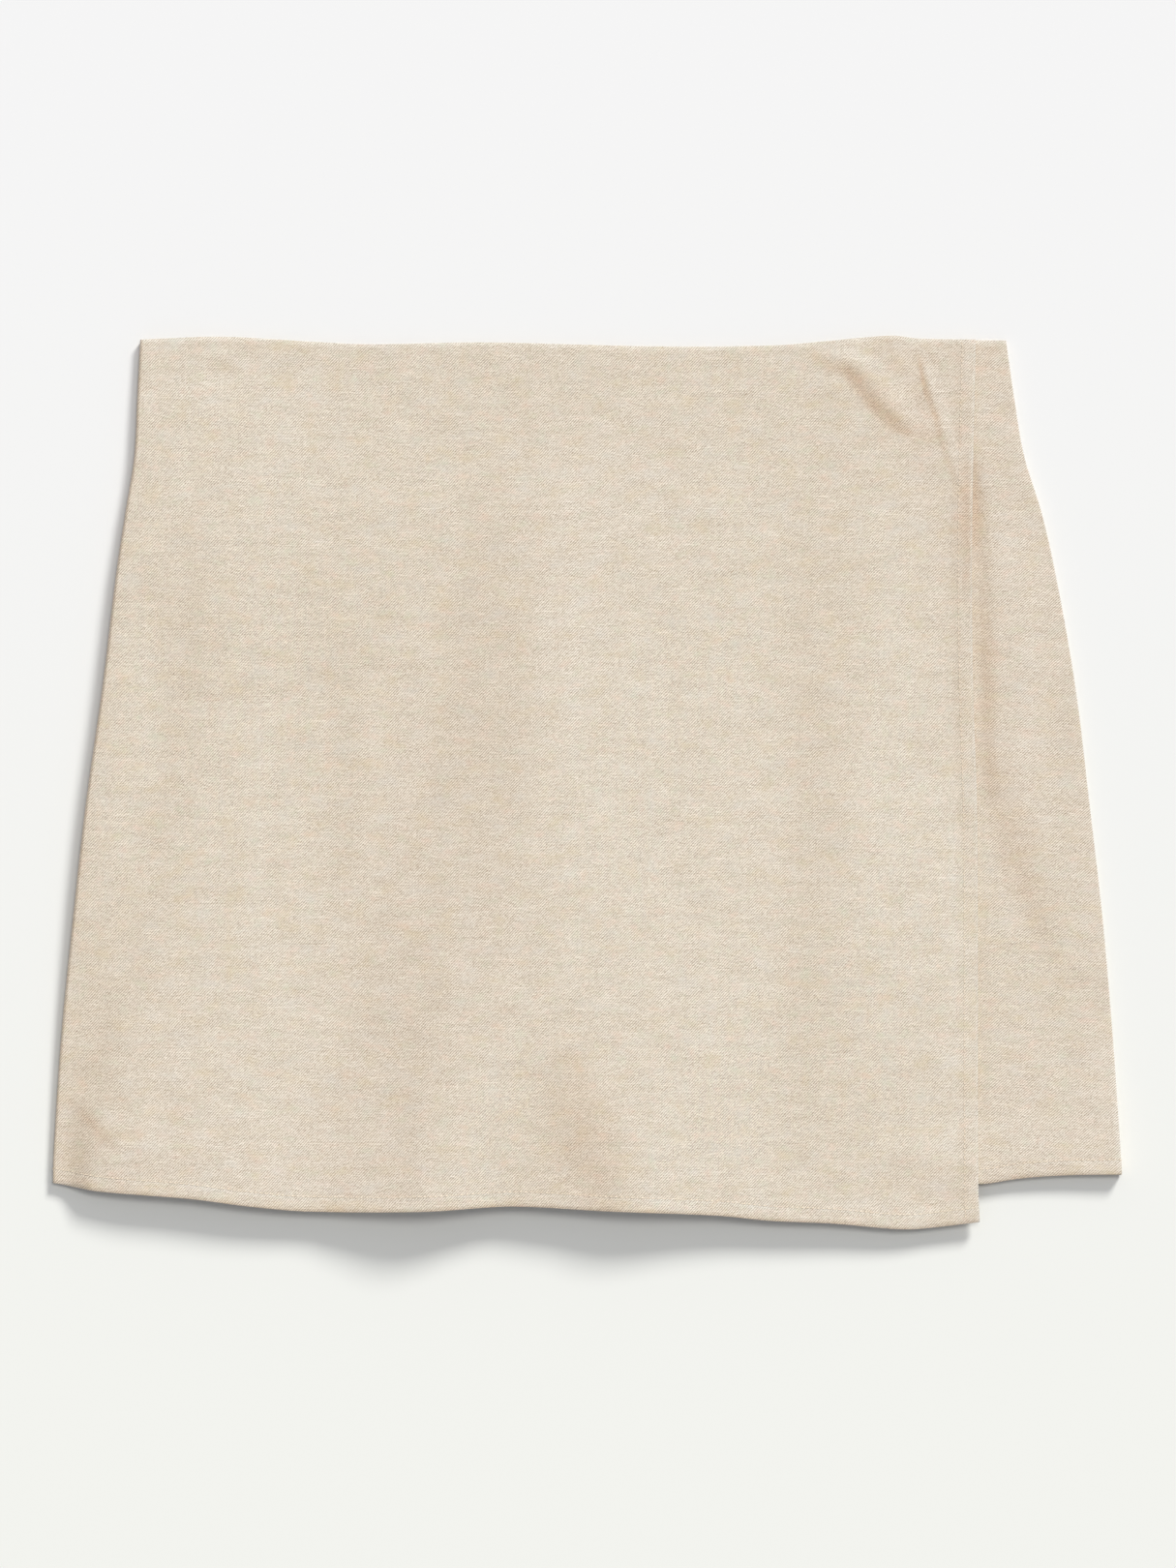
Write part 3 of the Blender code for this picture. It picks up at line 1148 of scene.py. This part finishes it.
@dataclass
class Panel(ABC):
    """A panel of cloth: a grid laid on its form, with its edges turned in and its side rolled.

    Its columns go from its inner or free edge to its side seam, and its rows from waist to hem. The
    first of them are as far from that edge as near says, and a side with a bend is pressed to it.
    """

    name: str
    side: Side
    layer: Layer
    relief: Relief
    wall: float = 0.45
    turning: Turning = SEAM_TURNING
    rolled_turning: float = 0.3
    bend: float = 0.0
    near: tuple[float, ...] = (0.0,)
    column_count: int = 60
    row_count: int = 80
    stitched_round: float = 1.6
    # how strongly the painted shade follows the cloth's turn from the light
    painted_turn_shade: float = 2.5
    rests_on: tuple[str, ...] = ()
    grain: float = 0.0
    shell: bpy.types.Object | None = None
    cut: tuple[float, float, float] = (0.0, 0.0, 0.0)

    # What each kind of panel says of itself

    @abstractmethod
    def first_edge(self, drop: float) -> float:
        """Return the place of the inner or free edge."""

    @abstractmethod
    def hem(self, x: float) -> float:
        """Return the drop of the hem."""

    @abstractmethod
    def level(self, x: float, drop: float) -> float:
        """Return the height of the outer face where the cloth lies level."""

    @abstractmethod
    def painted_shade(self, x: float, drop: float) -> float:
        """Return how much warm shade is painted on the creases, from 0 to 1."""

    # What they share

    def edge_radius(self, drop: float) -> float:
        """Return the radius of the inner or free edge's turning at a drop."""
        return self.turning.radius

    def waist(self, x: float) -> float:
        """Return the drop of the waist edge."""
        return WAIST_DROP(x) + FORM.waist_tuck

    def roll_radius(self, drop: float) -> float:
        """Return the radius of the rolled side, or of its bend, across."""
        return self.bend or FORM.roll(self.side, drop)

    def roll_start(self, drop: float) -> float:
        """Return the place where the panel's level cloth ends and its rolled side begins."""
        radius = self.bend or FORM.roll(self.side, drop)
        return FORM.side_edge(self.side, drop) - self.side.value * radius

    def roll_rise(self, level: float, drop: float) -> float:
        """Return how far up the rolled side goes to just before its seam.

        Args:
            level: the height where the roll starts.
            drop: the distance down the garment.

        Returns:
            The rise of the rolled side, which is below 0 where it goes down.
        """
        if self.layer is Layer.BACK:
            return FORM.roll(self.side, drop)
        return FORM.seam(self.side, drop) + FORM.seam_space - level

    def columns(self) -> list[Line]:
        """Rule the grid lines that run down the panel.

        Returns:
            The lines, from its inner or free edge to its side.
        """
        past = [Line(past=-past) for past in reversed(self.turning.lines())]
        lead = [Line(lead=step) for step in self.near]
        side = Line(lead=self.near[-1], share=1.0)
        middle = [replace(side, share=share) for share in even(self.column_count, first=False)]
        roll = [replace(side, turn=turn) for turn in even(ROLL_STEPS, first=False)]
        tuck = [replace(side, turn=1 + turn) for turn in even(SEAM_TURNING.steps, first=False)]
        return past + lead + middle + roll + tuck

    def rows(self) -> list[Line]:
        """Rule the grid lines that run across the panel, closest at the hem's stitching.

        Returns:
            The lines, from waist to hem.
        """
        past = [Line(past=-past) for past in reversed(WAIST_TURNING.lines())]
        middle = [Line(share=share) for share in even(self.row_count)]
        stitches = FOOT_DEPTH - (FORM.turn_depth - HEM_TURNING.radius)
        tails = (FOOT_START, *(stitches + step for step in STITCH_ROWS), FOOT_DEPTH)
        foot = [Line(share=1.0, tail=tail) for tail in tails]
        return past + middle + foot + [replace(foot[-1], past=past) for past in HEM_TURNING.lines()]

    def across(self, column: Line, drop: float, out: float = 0.0) -> tuple[float, float]:
        """Place a column at a drop.

        Args:
            column: the grid line.
            drop: the distance down the garment.
            out: how far past the start of the edge's turning.

        Returns:
            The place across of the level cloth, and the distance from the first edge.
        """
        start = self.first_edge(drop) + self.side.value * self.edge_radius(drop) * self.turning.pressed
        width = abs(self.roll_start(drop) - start)
        inward = column.lead + column.share * (width - self.near[-1])
        return start + self.side.value * (inward - out), inward - out

    def face(self, column: Line, drop: float, out: float = 0.0) -> Vector:
        """Return a point of the outer face, with its rolled side but without turned edges.

        Args:
            column: the grid line.
            drop: the distance down the garment.
            out: how far past the start of the edge's turning.

        Returns:
            The point, in millimetres.
        """
        x, _ = self.across(column, drop, out)
        height = self.level(x, drop)
        angle = min(column.turn, 1.0) * QUARTER
        tuck = max(column.turn - 1.0, 0.0) * QUARTER
        sideways = self.roll_radius(drop) * math.sin(angle) - FORM.seam_tuck * (1 - math.cos(tuck))
        height += self.roll_rise(height, drop) * (1 - math.cos(angle))
        height -= self.layer.value * FORM.seam_tuck * math.sin(tuck)
        return Vector((x + self.side.value * sideways, -drop, height))

    def inward(self, column: Line, drop: float) -> Vector:
        """Find the way into the garment, at right angles to the outer face.

        Args:
            column: the grid line.
            drop: the distance down the garment.

        Returns:
            The direction from the face inwards.
        """
        plain = replace(column, past=0.0, turn=min(column.turn, 1.0))
        step = 0.05
        if plain.turn > 0.0:
            before, after = replace(plain, turn=plain.turn - step), plain
        else:
            before, after = plain, replace(plain, lead=plain.lead + step)
        sideways = self.face(after, drop) - self.face(before, drop)
        downward = self.face(plain, drop + step) - self.face(plain, drop - step)
        return sideways.cross(downward).normalized() * self.side.value * self.layer.value

    def place(self, column: Line, row: Line) -> tuple[Vector, tuple[float, float]]:
        """Place a grid point, round the turned edges too.

        Args:
            column: the grid line down the panel.
            row: the grid line across it.

        Returns:
            The point, and its place on the flat cloth, both in millimetres.
        """
        waist = self.waist(self.across(column, 0.0)[0]) + WAIST_TURNING.radius * WAIST_TURNING.pressed
        hem = self.hem(self.across(column, FORM.hem_drop)[0]) - HEM_TURNING.radius * HEM_TURNING.pressed
        turning = HEM_TURNING if row.past > 0 else WAIST_TURNING
        thinner = mix(1.0, self.rolled_turning, ease(column.turn))
        out, under, used = turning.at(abs(row.past), turning.radius * thinner)
        start = waist + row.share * (hem - waist - FOOT_DEPTH) + row.tail
        past = math.copysign(1.0, row.past)
        drop = start + past * out

        radius = self.edge_radius(drop)
        sideways, depth, edge_used = self.turning.at(abs(column.past), radius, under)
        point = self.face(column, drop, sideways)
        if depth > 0.0:
            point += self.inward(column, drop) * depth
        flat_x, _ = self.across(column, start)
        rolled = self.roll_radius(drop) * min(column.turn, 1.0) * QUARTER
        rolled += FORM.seam_tuck * max(column.turn - 1.0, 0.0) * QUARTER
        flat_x += self.side.value * (rolled - edge_used)
        return point, (flat_x, start + past * used)

    def shade(self, normal: Vector) -> float:
        """Find how far cloth is turned from the light, for the painted shade that makes it warmer there.

        Args:
            normal: the direction that the cloth faces.

        Returns:
            A share from 0 to 1, and 0.5 where the cloth is level.
        """
        turn = math.radians(LIGHT_TURN)
        facing = normal.x * math.cos(turn) + normal.y * math.sin(turn)
        return min(max(0.5 - self.painted_turn_shade * facing, 0.0), 1.0)

    def build(self) -> None:
        """Lay the panel's grid on its form and give it a wall."""
        columns, rows = self.columns(), self.rows()
        grid = bmesh.new()
        bmesh.ops.create_grid(grid, x_segments=len(columns) - 1, y_segments=len(rows) - 1, size=1.0)
        flat: dict[bmesh.types.BMVert, tuple[float, float]] = {}
        # pressed holds the painted warm shade of the creases and gathers, and shaded the painted shade
        # by the light's side
        for layer in (PAINTED_CREASE_SHADE, SHADED):
            grid.verts.layers.float.new(layer)
        pressed, shaded = (grid.verts.layers.float[layer] for layer in (PAINTED_CREASE_SHADE, SHADED))
        for vert in grid.verts:
            column = columns[round((vert.co.x + 1) / 2 * (len(columns) - 1))]
            row = rows[round((1 - vert.co.y) / 2 * (len(rows) - 1))]
            point, flat[vert] = self.place(column, row)
            vert.co = in_frame(point)
            vert[pressed] = self.painted_shade(point.x, -point.y)
        grid.normal_update()
        if (sum(face.normal.z for face in grid.faces) > 0) != (self.layer is Layer.FRONT):
            bmesh.ops.reverse_faces(grid, faces=grid.faces)
            grid.normal_update()
        # Painted shade: how far each point turns from the key light
        for vert in grid.verts:
            vert[shaded] = self.shade(vert.normal)
        self.lay_out(grid, flat)
        self.shell = link_object(f"{self.name}_cloth", mesh_from(grid, f"{self.name}_cloth"))
        thickness = self.shell.modifiers.new("wall", "SOLIDIFY")
        thickness.thickness = self.wall * MM
        thickness.offset = -1.0
        thickness.use_quality_normals = True

    def lay_out(
        self, grid: bmesh.types.BMesh, flat: dict[bmesh.types.BMVert, tuple[float, float]]
    ) -> None:
        """Map the cloth by its places on the flat piece, and measure the cut.

        Args:
            grid: the panel's bmesh.
            flat: for each point of it, its place across and down the flat piece.
        """
        cloth_map = grid.loops.layers.uv.new(PANEL_MAP)
        area = 0.0
        for face in grid.faces:
            corners = [flat[loop.vert] for loop in face.loops]
            for loop, (x, drop) in zip(face.loops, corners):
                loop[cloth_map].uv = (x * MM, -drop * MM)
            ends = corners[1:] + corners[:1]
            area += abs(sum(a[0] * b[1] - b[0] * a[1] for a, b in zip(corners, ends))) / 2
        width, length = (max(places) - min(places) for places in zip(*flat.values()))
        self.cut = (width * MM, length * MM, area * MM * MM)

    def dress(self, finish: TwillFinish) -> None:
        """Give the panel its twill, hang it from the root, and hide the solid that it stands for.

        Args:
            finish: the finish of the cloth.
        """
        self.shell.data.materials.append(finish.material(f"{self.name}_twill", self.grain))
        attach(self.shell, "root")
        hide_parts(self.name)

    def declare(self, thread: bpy.types.Object) -> None:
        """Report the panel's cut.

        Args:
            thread: the stitching that goes with it; not used.
        """
        width, length, area = self.cut
        rests_on = list(self.rests_on)
        LOG.info("%s: cut %.0f x %.0f mm, %.4f m2", self.name, width / MM, length / MM, area)

    def down_line(self, from_edge: float, start: float, end: float) -> list[tuple[Vector, Vector]]:
        """Return points and outward directions down the panel, near its first edge.

        Args:
            from_edge: the distance in from the inner or free edge.
            start: the distance of the first point below the waist.
            end: the distance of the last point above the hem.

        Returns:
            A point of the outer face, and the direction out of it, for each step.
        """
        column = Line(lead=from_edge - self.turning.radius * self.turning.pressed)
        first = self.waist(self.across(column, 0.0)[0]) + start
        last = self.hem(self.across(column, FORM.hem_drop)[0]) - end
        steps = round(last - first)
        drops = [mix(first, last, step / steps) for step in range(steps + 1)]
        return [(self.face(column, drop), -self.inward(column, drop)) for drop in drops]

    def hem_line(self, from_edge: float, start: float) -> list[tuple[Vector, Vector]]:
        """Return points and outward directions along the hem, and on round the rolled side.

        Args:
            from_edge: the distance up from the hem.
            start: the distance of the first point from the inner or free edge.

        Returns:
            A point of the outer face, and the direction out of it, for each step.
        """
        width = abs(self.roll_start(FORM.hem_drop) - self.first_edge(FORM.hem_drop))
        shares = [mix(start / width, 1.0, step) for step in even(round(width))]
        lines = [Line(lead=self.near[-1] * share, share=share) for share in shares]
        lines += [
            replace(lines[-1], turn=self.stitched_round * step)
            for step in even(ROLL_STEPS, first=False)
        ]
        found = []
        for line in lines:
            drop = self.hem(self.across(line, FORM.hem_drop)[0]) - from_edge
            found.append((self.face(line, drop), -self.inward(line, drop)))
        return found


@dataclass
class WrapPanel(Panel):
    """The front wrap panel: round at its side, folded along its length, low at its free edge."""

    turning: Turning = FREE_EDGE_TURNING
    bend: float = 1.6
    near: tuple[float, ...] = FREE_EDGE_LINES + FOLD_LINES
    column_count: int = 158
    row_count: int = 165
    free_edge_lift: float = 0.3
    free_edge_sewn: float = 0.1
    side_fall: float = 46.0
    side_fall_hem: float = 18.0
    side_fall_from: float = 0.6
    side_inside: float = 1.0
    free_fall: float = 80.0
    crossing: float = 0.5
    waist_swell: float = 1.1
    waist_fall: float = 62.0
    # how much warm shade is painted on the shaded side of the gathers
    gather_painted_shade: float = 0.45
    corner_radius: float = 1.25
    corner_from: float = 6.0
    corner_fade: float = 10.0

    def first_edge(self, drop: float) -> float:
        """Return the place of the free edge."""
        return FREE_EDGE_X(drop)

    def edge_radius(self, drop: float) -> float:
        """Return the radius of the free edge's turning, which takes in the turned hem below.

        Args:
            drop: the distance down the garment.

        Returns:
            The radius, which is largest at the corner with the hem.
        """
        above_hem = WRAP_HEM_DROP(FREE_EDGE_X(drop)) - drop
        plain = ease((above_hem - self.corner_from) / self.corner_fade)
        return mix(self.corner_radius, self.turning.radius, plain)

    def waist(self, x: float) -> float:
        """Return the drop of the waist edge."""
        return WAIST_DROP(x)

    def hem(self, x: float) -> float:
        """Return the drop of the hem."""
        return WRAP_HEM_DROP(x)

    def folds(self, x: float, drop: float) -> float:
        """Add up the largest folds.

        Args:
            x: the place across.
            drop: the distance down the garment.

        Returns:
            The height that they add there.
        """
        height = 0.0
        for fold in WRAP_FOLDS:
            along = min(max((drop - fold.start) / (fold.end - fold.start), 0.0), 1.0)
            ridge = mix(fold.x_start, fold.x_end, along)
            reach = fold.reach_minus if x < ridge else fold.reach_plus
            crest = fold.middle * math.sin(math.pi * along) ** 2 + fold.at_end * ease(along)
            height += crest * flank((x - ridge) / reach)
        return height

    def lying(self, x: float, drop: float, turned: float) -> float:
        """Find how low the panel can lie.

        Args:
            x: the place across.
            drop: the distance down the garment.
            turned: how much of a turned hem or edge is there, from 0 to 1.

        Returns:
            The height of its outer face where it lies on the shorts.
        """
        side = Side.LEFT if x > FORM.centre_seam else Side.RIGHT
        return FORM.front_height(side, x, drop) + FORM.gap + FORM.layer + FORM.turn_swell * turned

    def level(self, x: float, drop: float) -> float:
        """Find the outer face, over the shorts and with every fold.

        Args:
            x: the place across.
            drop: the distance down the garment.

        Returns:
            The height of the face where the cloth lies level.
        """
        from_hem = WRAP_HEM_DROP(max(x, RIGHT_EDGE(drop) + self.side_inside)) - drop
        from_free = FREE_EDGE_X(drop) - x
        lying = self.lying(x, drop, max(FORM.turned(from_hem), FORM.turned(from_free)))
        waist = WAIST_DROP(x)
        share = (drop - waist) / (WRAP_HEM_DROP(x) - waist)
        swell = self.waist_swell * (1 - ease((drop - waist) / self.waist_fall))
        at_waist = 3 * FORM.layer + 2 * FORM.gap + swell
        raised = mix(at_waist, HEM_HEIGHT(x), RISE(share)) + self.folds(x, drop)
        from_roll = x - FORM.roll_start(Side.RIGHT, drop)
        low = ease((share - self.side_fall_from) / (1 - self.side_fall_from))
        fall = mix(self.side_fall, self.side_fall_hem, low)
        raised = mix(RIGHT_TOP(drop), raised, ease(from_roll / fall))
        edge_height = lying + self.free_edge_lift * ease(share / self.free_edge_sewn)
        raised = mix(edge_height, raised, ease(from_free / self.free_fall))
        raised += crease_relief(WRAP_CREASES, x, drop)[0]
        raised += self.relief.gather * (self.relief.gathers(from_free, drop) - 0.5)
        height = soft_max(raised, lying, self.crossing) + self.relief.dents(x, drop)
        return height + self.relief.stitching(from_hem, x) + self.relief.stitching(from_free, drop)

    def painted_shade(self, x: float, drop: float) -> float:
        """Return how much warm shade is painted on the creases and the gathers, from 0 to 1."""
        gathered = self.relief.gathers(FREE_EDGE_X(drop) - x, drop + self.relief.gather_pitch / 4)
        return min(crease_relief(WRAP_CREASES, x, drop)[1] + self.gather_painted_shade * gathered, 1.0)


@dataclass
class LegPanel(Panel):
    """A front or back panel of one leg of the shorts."""

    closed: float = 1.0
    closing: float = 8.0
    opening: float = 15.0
    creases: tuple[Crease, ...] = ()

    def first_edge(self, drop: float) -> float:
        """Return the place of the centre seam or inseam."""
        return FORM.inner_edge(self.side, drop)

    def hem(self, x: float) -> float:
        """Return the drop of the hem."""
        return SHORTS_HEM_DROP(x)

    def level(self, x: float, drop: float) -> float:
        """Find the outer face, with its creases.

        Args:
            x: the place across.
            drop: the distance down the garment.

        Returns:
            The height of the face where the cloth lies level.
        """
        from_hem = SHORTS_HEM_DROP(x) - drop
        fine = crease_relief(self.creases, abs(x), drop)[0]
        if self.layer is Layer.BACK:
            pressed = self.relief.groove * bell((from_hem - FORM.turn_depth) / self.relief.groove_reach)
            return max(fine, 0.0) + pressed
        height = FORM.front_height(self.side, x, drop)
        below_crotch = ease((drop - FORM.crotch_drop) / self.opening)
        from_inseam = self.side.value * (x - FORM.inner_edge(self.side, drop))
        near = (1 - ease(from_inseam / self.closing)) * below_crotch
        closed = self.closed + 2 * HEM_TURNING.radius * FORM.turned(from_hem)
        height = mix(height, min(closed, height), near)
        return height + fine + self.relief.dents(x, drop) + self.relief.stitching(from_hem, x)

    def painted_shade(self, x: float, drop: float) -> float:
        """Return how much warm shade is painted on the creases, from 0 to 1."""
        return crease_relief(self.creases, abs(x), drop)[1]


@dataclass
class OpenPanel(LegPanel):
    """The left leg's front, which lies in the open and bends down sharply to its side seam."""

    bend: float = 0.5

    def roll_rise(self, level: float, drop: float) -> float:
        """Return how far down the bend goes, as a height below 0."""
        return min(FORM.seam(self.side, drop) - level, -self.bend / 2)


@dataclass
class TuckedPanel(LegPanel):
    """The right leg's front, whose side goes up inside the back's rolled edge."""

    inside: float = 2.3
    stitched_round: float = 0.6

    def roll_radius(self, drop: float) -> float:
        """Return the radius of the side, inside that of the back."""
        return FORM.roll(self.side, drop) - self.inside

    def roll_rise(self, level: float, drop: float) -> float:
        """Return how far up the side goes."""
        return self.roll_radius(drop)

    def columns(self) -> list[Line]:
        """Return the grid lines from the centre seam to the end of the side."""
        return [line for line in super().columns() if line.turn <= 1.0]


# Stitching


@dataclass
class Stitching:
    """A line of stitches: short, arched lengths of thread, each a little askew."""

    name: str
    seed: int
    pitch: float = 2.54
    length: float = 2.05
    thickness: float = 0.46
    lift: float = 0.04
    clear: float = 0.03
    askew: float = 0.14
    wander: float = 0.05
    shortest: float = 0.92
    longest: float = 1.06
    bob: float = 0.02
    # where along each half stitch the painted shade of its end starts
    sunk_from: float = 0.6
    rings: int = 6
    sides: int = 6
    thread: bpy.types.Object | None = None

    def build(self, *runs: list[tuple[Vector, Vector]]) -> None:
        """Sew the stitches along one or more lines.

        Args:
            *runs: for each line, points of the cloth's face with the direction out of it.
        """
        chance = random.Random(self.seed)
        sewn = bmesh.new()
        sewn.verts.layers.float.new(SUNK_SHADE_MAP)
        for run in runs:
            for place, along, out in self.stitches(run):
                self.add_stitch(sewn, place, along, out, chance)
        self.thread = link_object(self.name, mesh_from(sewn, self.name))

    def stitches(self, run: list[tuple[Vector, Vector]]) -> Iterable[tuple[Vector, Vector, Vector]]:
        """Walk along a line, and stop at each stitch.

        Args:
            run: points of the cloth's face, each with the direction out of it.

        Yields:
            The stitch's middle, the direction of the line there, and the direction out of the cloth.
        """
        walked, due = 0.0, self.pitch / 2
        for (start, out), (end, _) in zip(run, run[1:]):
            step = (end - start).length
            while due <= walked + step:
                yield start.lerp(end, (due - walked) / step), (end - start).normalized(), out
                due += self.pitch
            walked += step

    def add_stitch(
        self, sewn: bmesh.types.BMesh, place: Vector, along: Vector, out: Vector, chance: random.Random
    ) -> None:
        """Add one stitch.

        Args:
            sewn: the bmesh of all the stitches.
            place: its middle on the cloth's face.
            along: the direction of the line.
            out: the direction out of the cloth.
            chance: the source of its unevenness.
        """
        turn = Matrix.Rotation(self.askew + chance.gauss(0.0, self.wander), 4, out)
        along = turn @ along
        sideways = out.cross(along).normalized()
        length = self.length * chance.uniform(self.shortest, self.longest) / 2
        middle = place + out * (self.lift + chance.uniform(-self.bob, self.bob))
        axes = Matrix((along * length, sideways * self.thickness / 2, out * self.thickness / 2))
        axes = (axes.transposed() * MM).to_4x4() @ Matrix.Rotation(QUARTER, 4, "Y")
        placed = Matrix.Translation(in_frame(middle)) @ axes
        made = bmesh.ops.create_uvsphere(
            sewn, u_segments=self.sides, v_segments=self.rings, radius=1.0, matrix=placed
        )
        # Painted shade: each stitch darkens towards its ends, where it goes into its needle holes
        sunk_shade = sewn.verts.layers.float[SUNK_SHADE_MAP]
        for vert in made["verts"]:
            from_middle = abs((vert.co - placed.translation).dot(along)) / (length * MM)
            vert[sunk_shade] = ease((from_middle - self.sunk_from) / (1 - self.sunk_from))

    def dress(self, material: bpy.types.Material) -> None:
        """Give the stitches their thread.

        Args:
            material: the thread's material.
        """
        self.thread.data.materials.append(material)
        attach(self.thread, "root")


def cut_panels() -> list[Panel]:
    """Cut the garment's five panels.

    Returns:
        The panels, the wrap panel first, still unsewn.
    """
    left, right, front, back = Side.LEFT, Side.RIGHT, Layer.FRONT, Layer.BACK
    gathered = Relief(seed=3.0, gather=0.35)
    return [
        WrapPanel("wrap_panel", right, front, gathered, rests_on=("front_leg_left", "front_leg_right")),
        OpenPanel(
            "front_leg_left",
            left,
            front,
            Relief(seed=11.0),
            column_count=90,
            row_count=130,
            rests_on=("back_leg_left",),
            grain=4.0,
            creases=LEFT_FRONT_CREASES,
        ),
        TuckedPanel("front_leg_right", right, front, Relief(seed=17.0), rests_on=("back_leg_right",)),
        LegPanel("back_leg_left", left, back, Relief(seed=23.0), creases=HIDDEN_CREASES),
        LegPanel("back_leg_right", right, back, Relief(seed=29.0), creases=HIDDEN_CREASES),
    ]


@dataclass
class Skort:
    """The whole garment: its five panels and their stitching."""

    panels: list[Panel] = field(default_factory=cut_panels)
    edge_line: float = 6.6
    hem_line: float = 7.0
    from_corner: float = 1.5

    def build(self, twill: TwillFinish, thread: ThreadFinish) -> None:
        """Build and dress every panel, sew its stitching on and report it.

        Args:
            twill: the finish of the cloth.
            thread: the finish of the stitches.
        """
        spun = thread.material("sewing_thread")
        for seed, panel in enumerate(self.panels):
            panel.build()
            panel.dress(twill)
            stitching = Stitching(f"{panel.name}_stitches", seed)
            if panel.layer is Layer.BACK:
                stitching.lift = -stitching.thickness / 2 - stitching.clear
            runs = [panel.hem_line(self.hem_line, self.from_corner)]
            if isinstance(panel, WrapPanel):
                runs.append(panel.down_line(self.edge_line, self.from_corner, self.from_corner))
            stitching.build(*runs)
            stitching.dress(spun)
            panel.declare(stitching.thread)


@dataclass
class Studio:
    """The pale floor, the soft lights from the upper right, and the camera straight above."""

    floor_size: float = 12.0
    floor_drop: float = 0.0001
    light_turn: float = LIGHT_TURN
    light_colour: Colour = (1.0, 0.995, 0.963)
    key: tuple[float, float, float] = (31.0, 16.0, 3.11)
    high: tuple[float, float, float] = (74.0, 16.0, 0.84)
    fill_colour: Colour = (0.985, 1.0, 1.065)
    fill_strength: float = 0.374
    lens: float = 260.0
    sensor: float = 36.0
    view_height: float = 0.7452
    view_centre: tuple[float, float] = (0.0, -0.0007)

    def build_floor(self, finish: FloorFinish) -> None:
        """Lay the floor under the garment.

        Args:
            finish: the floor's finish.
        """
        grid = bmesh.new()
        bmesh.ops.create_grid(grid, x_segments=1, y_segments=1, size=self.floor_size / 2)
        bmesh.ops.translate(grid, verts=grid.verts, vec=(0.0, 0.0, -self.floor_drop))
        floor = link_object("studio_floor", mesh_from(grid, "studio_floor"))
        floor.data.materials.append(finish.material("floor_pale"))

    def build_lamp(self, name: str, height: float, width: float, strength: float) -> None:
        """Add one soft lamp from the upper right.

        Args:
            name: the lamp's name.
            height: its angle above the floor, in degrees.
            width: the angle that it spans, in degrees.
            strength: its strength.
        """
        light = bpy.data.lights.new(name, "SUN")
        light.energy = strength
        light.color = self.light_colour
        light.angle = math.radians(width)
        lamp = bpy.data.objects.new(name, light)
        lamp.rotation_euler = (math.radians(height - 90), 0.0, math.radians(self.light_turn - 90))
        bpy.context.scene.collection.objects.link(lamp)

    def build_light(self) -> None:
        """Light the scene: a low key light, a weak high one, and an even fill from all round."""
        self.build_lamp("key_light", *self.key)
        self.build_lamp("high_light", *self.high)
        world = bpy.data.worlds.new("fill_light")
        world.use_nodes = True
        backdrop = world.node_tree.nodes["Background"]
        backdrop.inputs["Color"].default_value = (*self.fill_colour, 1.0)
        backdrop.inputs["Strength"].default_value = self.fill_strength
        bpy.context.scene.world = world

    def build_camera(self) -> None:
        """Hang the camera straight above, with the waist at the top of the picture."""
        camera = bpy.data.cameras.new("camera")
        camera.lens = self.lens
        camera.sensor_fit = "AUTO"
        camera.sensor_width = self.sensor
        eye = bpy.data.objects.new("camera", camera)
        eye.location = (*self.view_centre, self.lens / self.sensor * self.view_height)
        bpy.context.scene.collection.objects.link(eye)
        bpy.context.scene.camera = eye
        bpy.context.scene.view_settings.view_transform = "Standard"


def main() -> None:
    """Build the garment and the studio."""
    logging.basicConfig(level=logging.INFO, format="%(name)s: %(message)s")
    Skort().build(TwillFinish(), ThreadFinish())
    studio = Studio()
    studio.build_floor(FloorFinish())
    studio.build_light()
    studio.build_camera()
    LOG.info("studio: floor, key light, fill and camera")


if __name__ == "__main__":
    main()
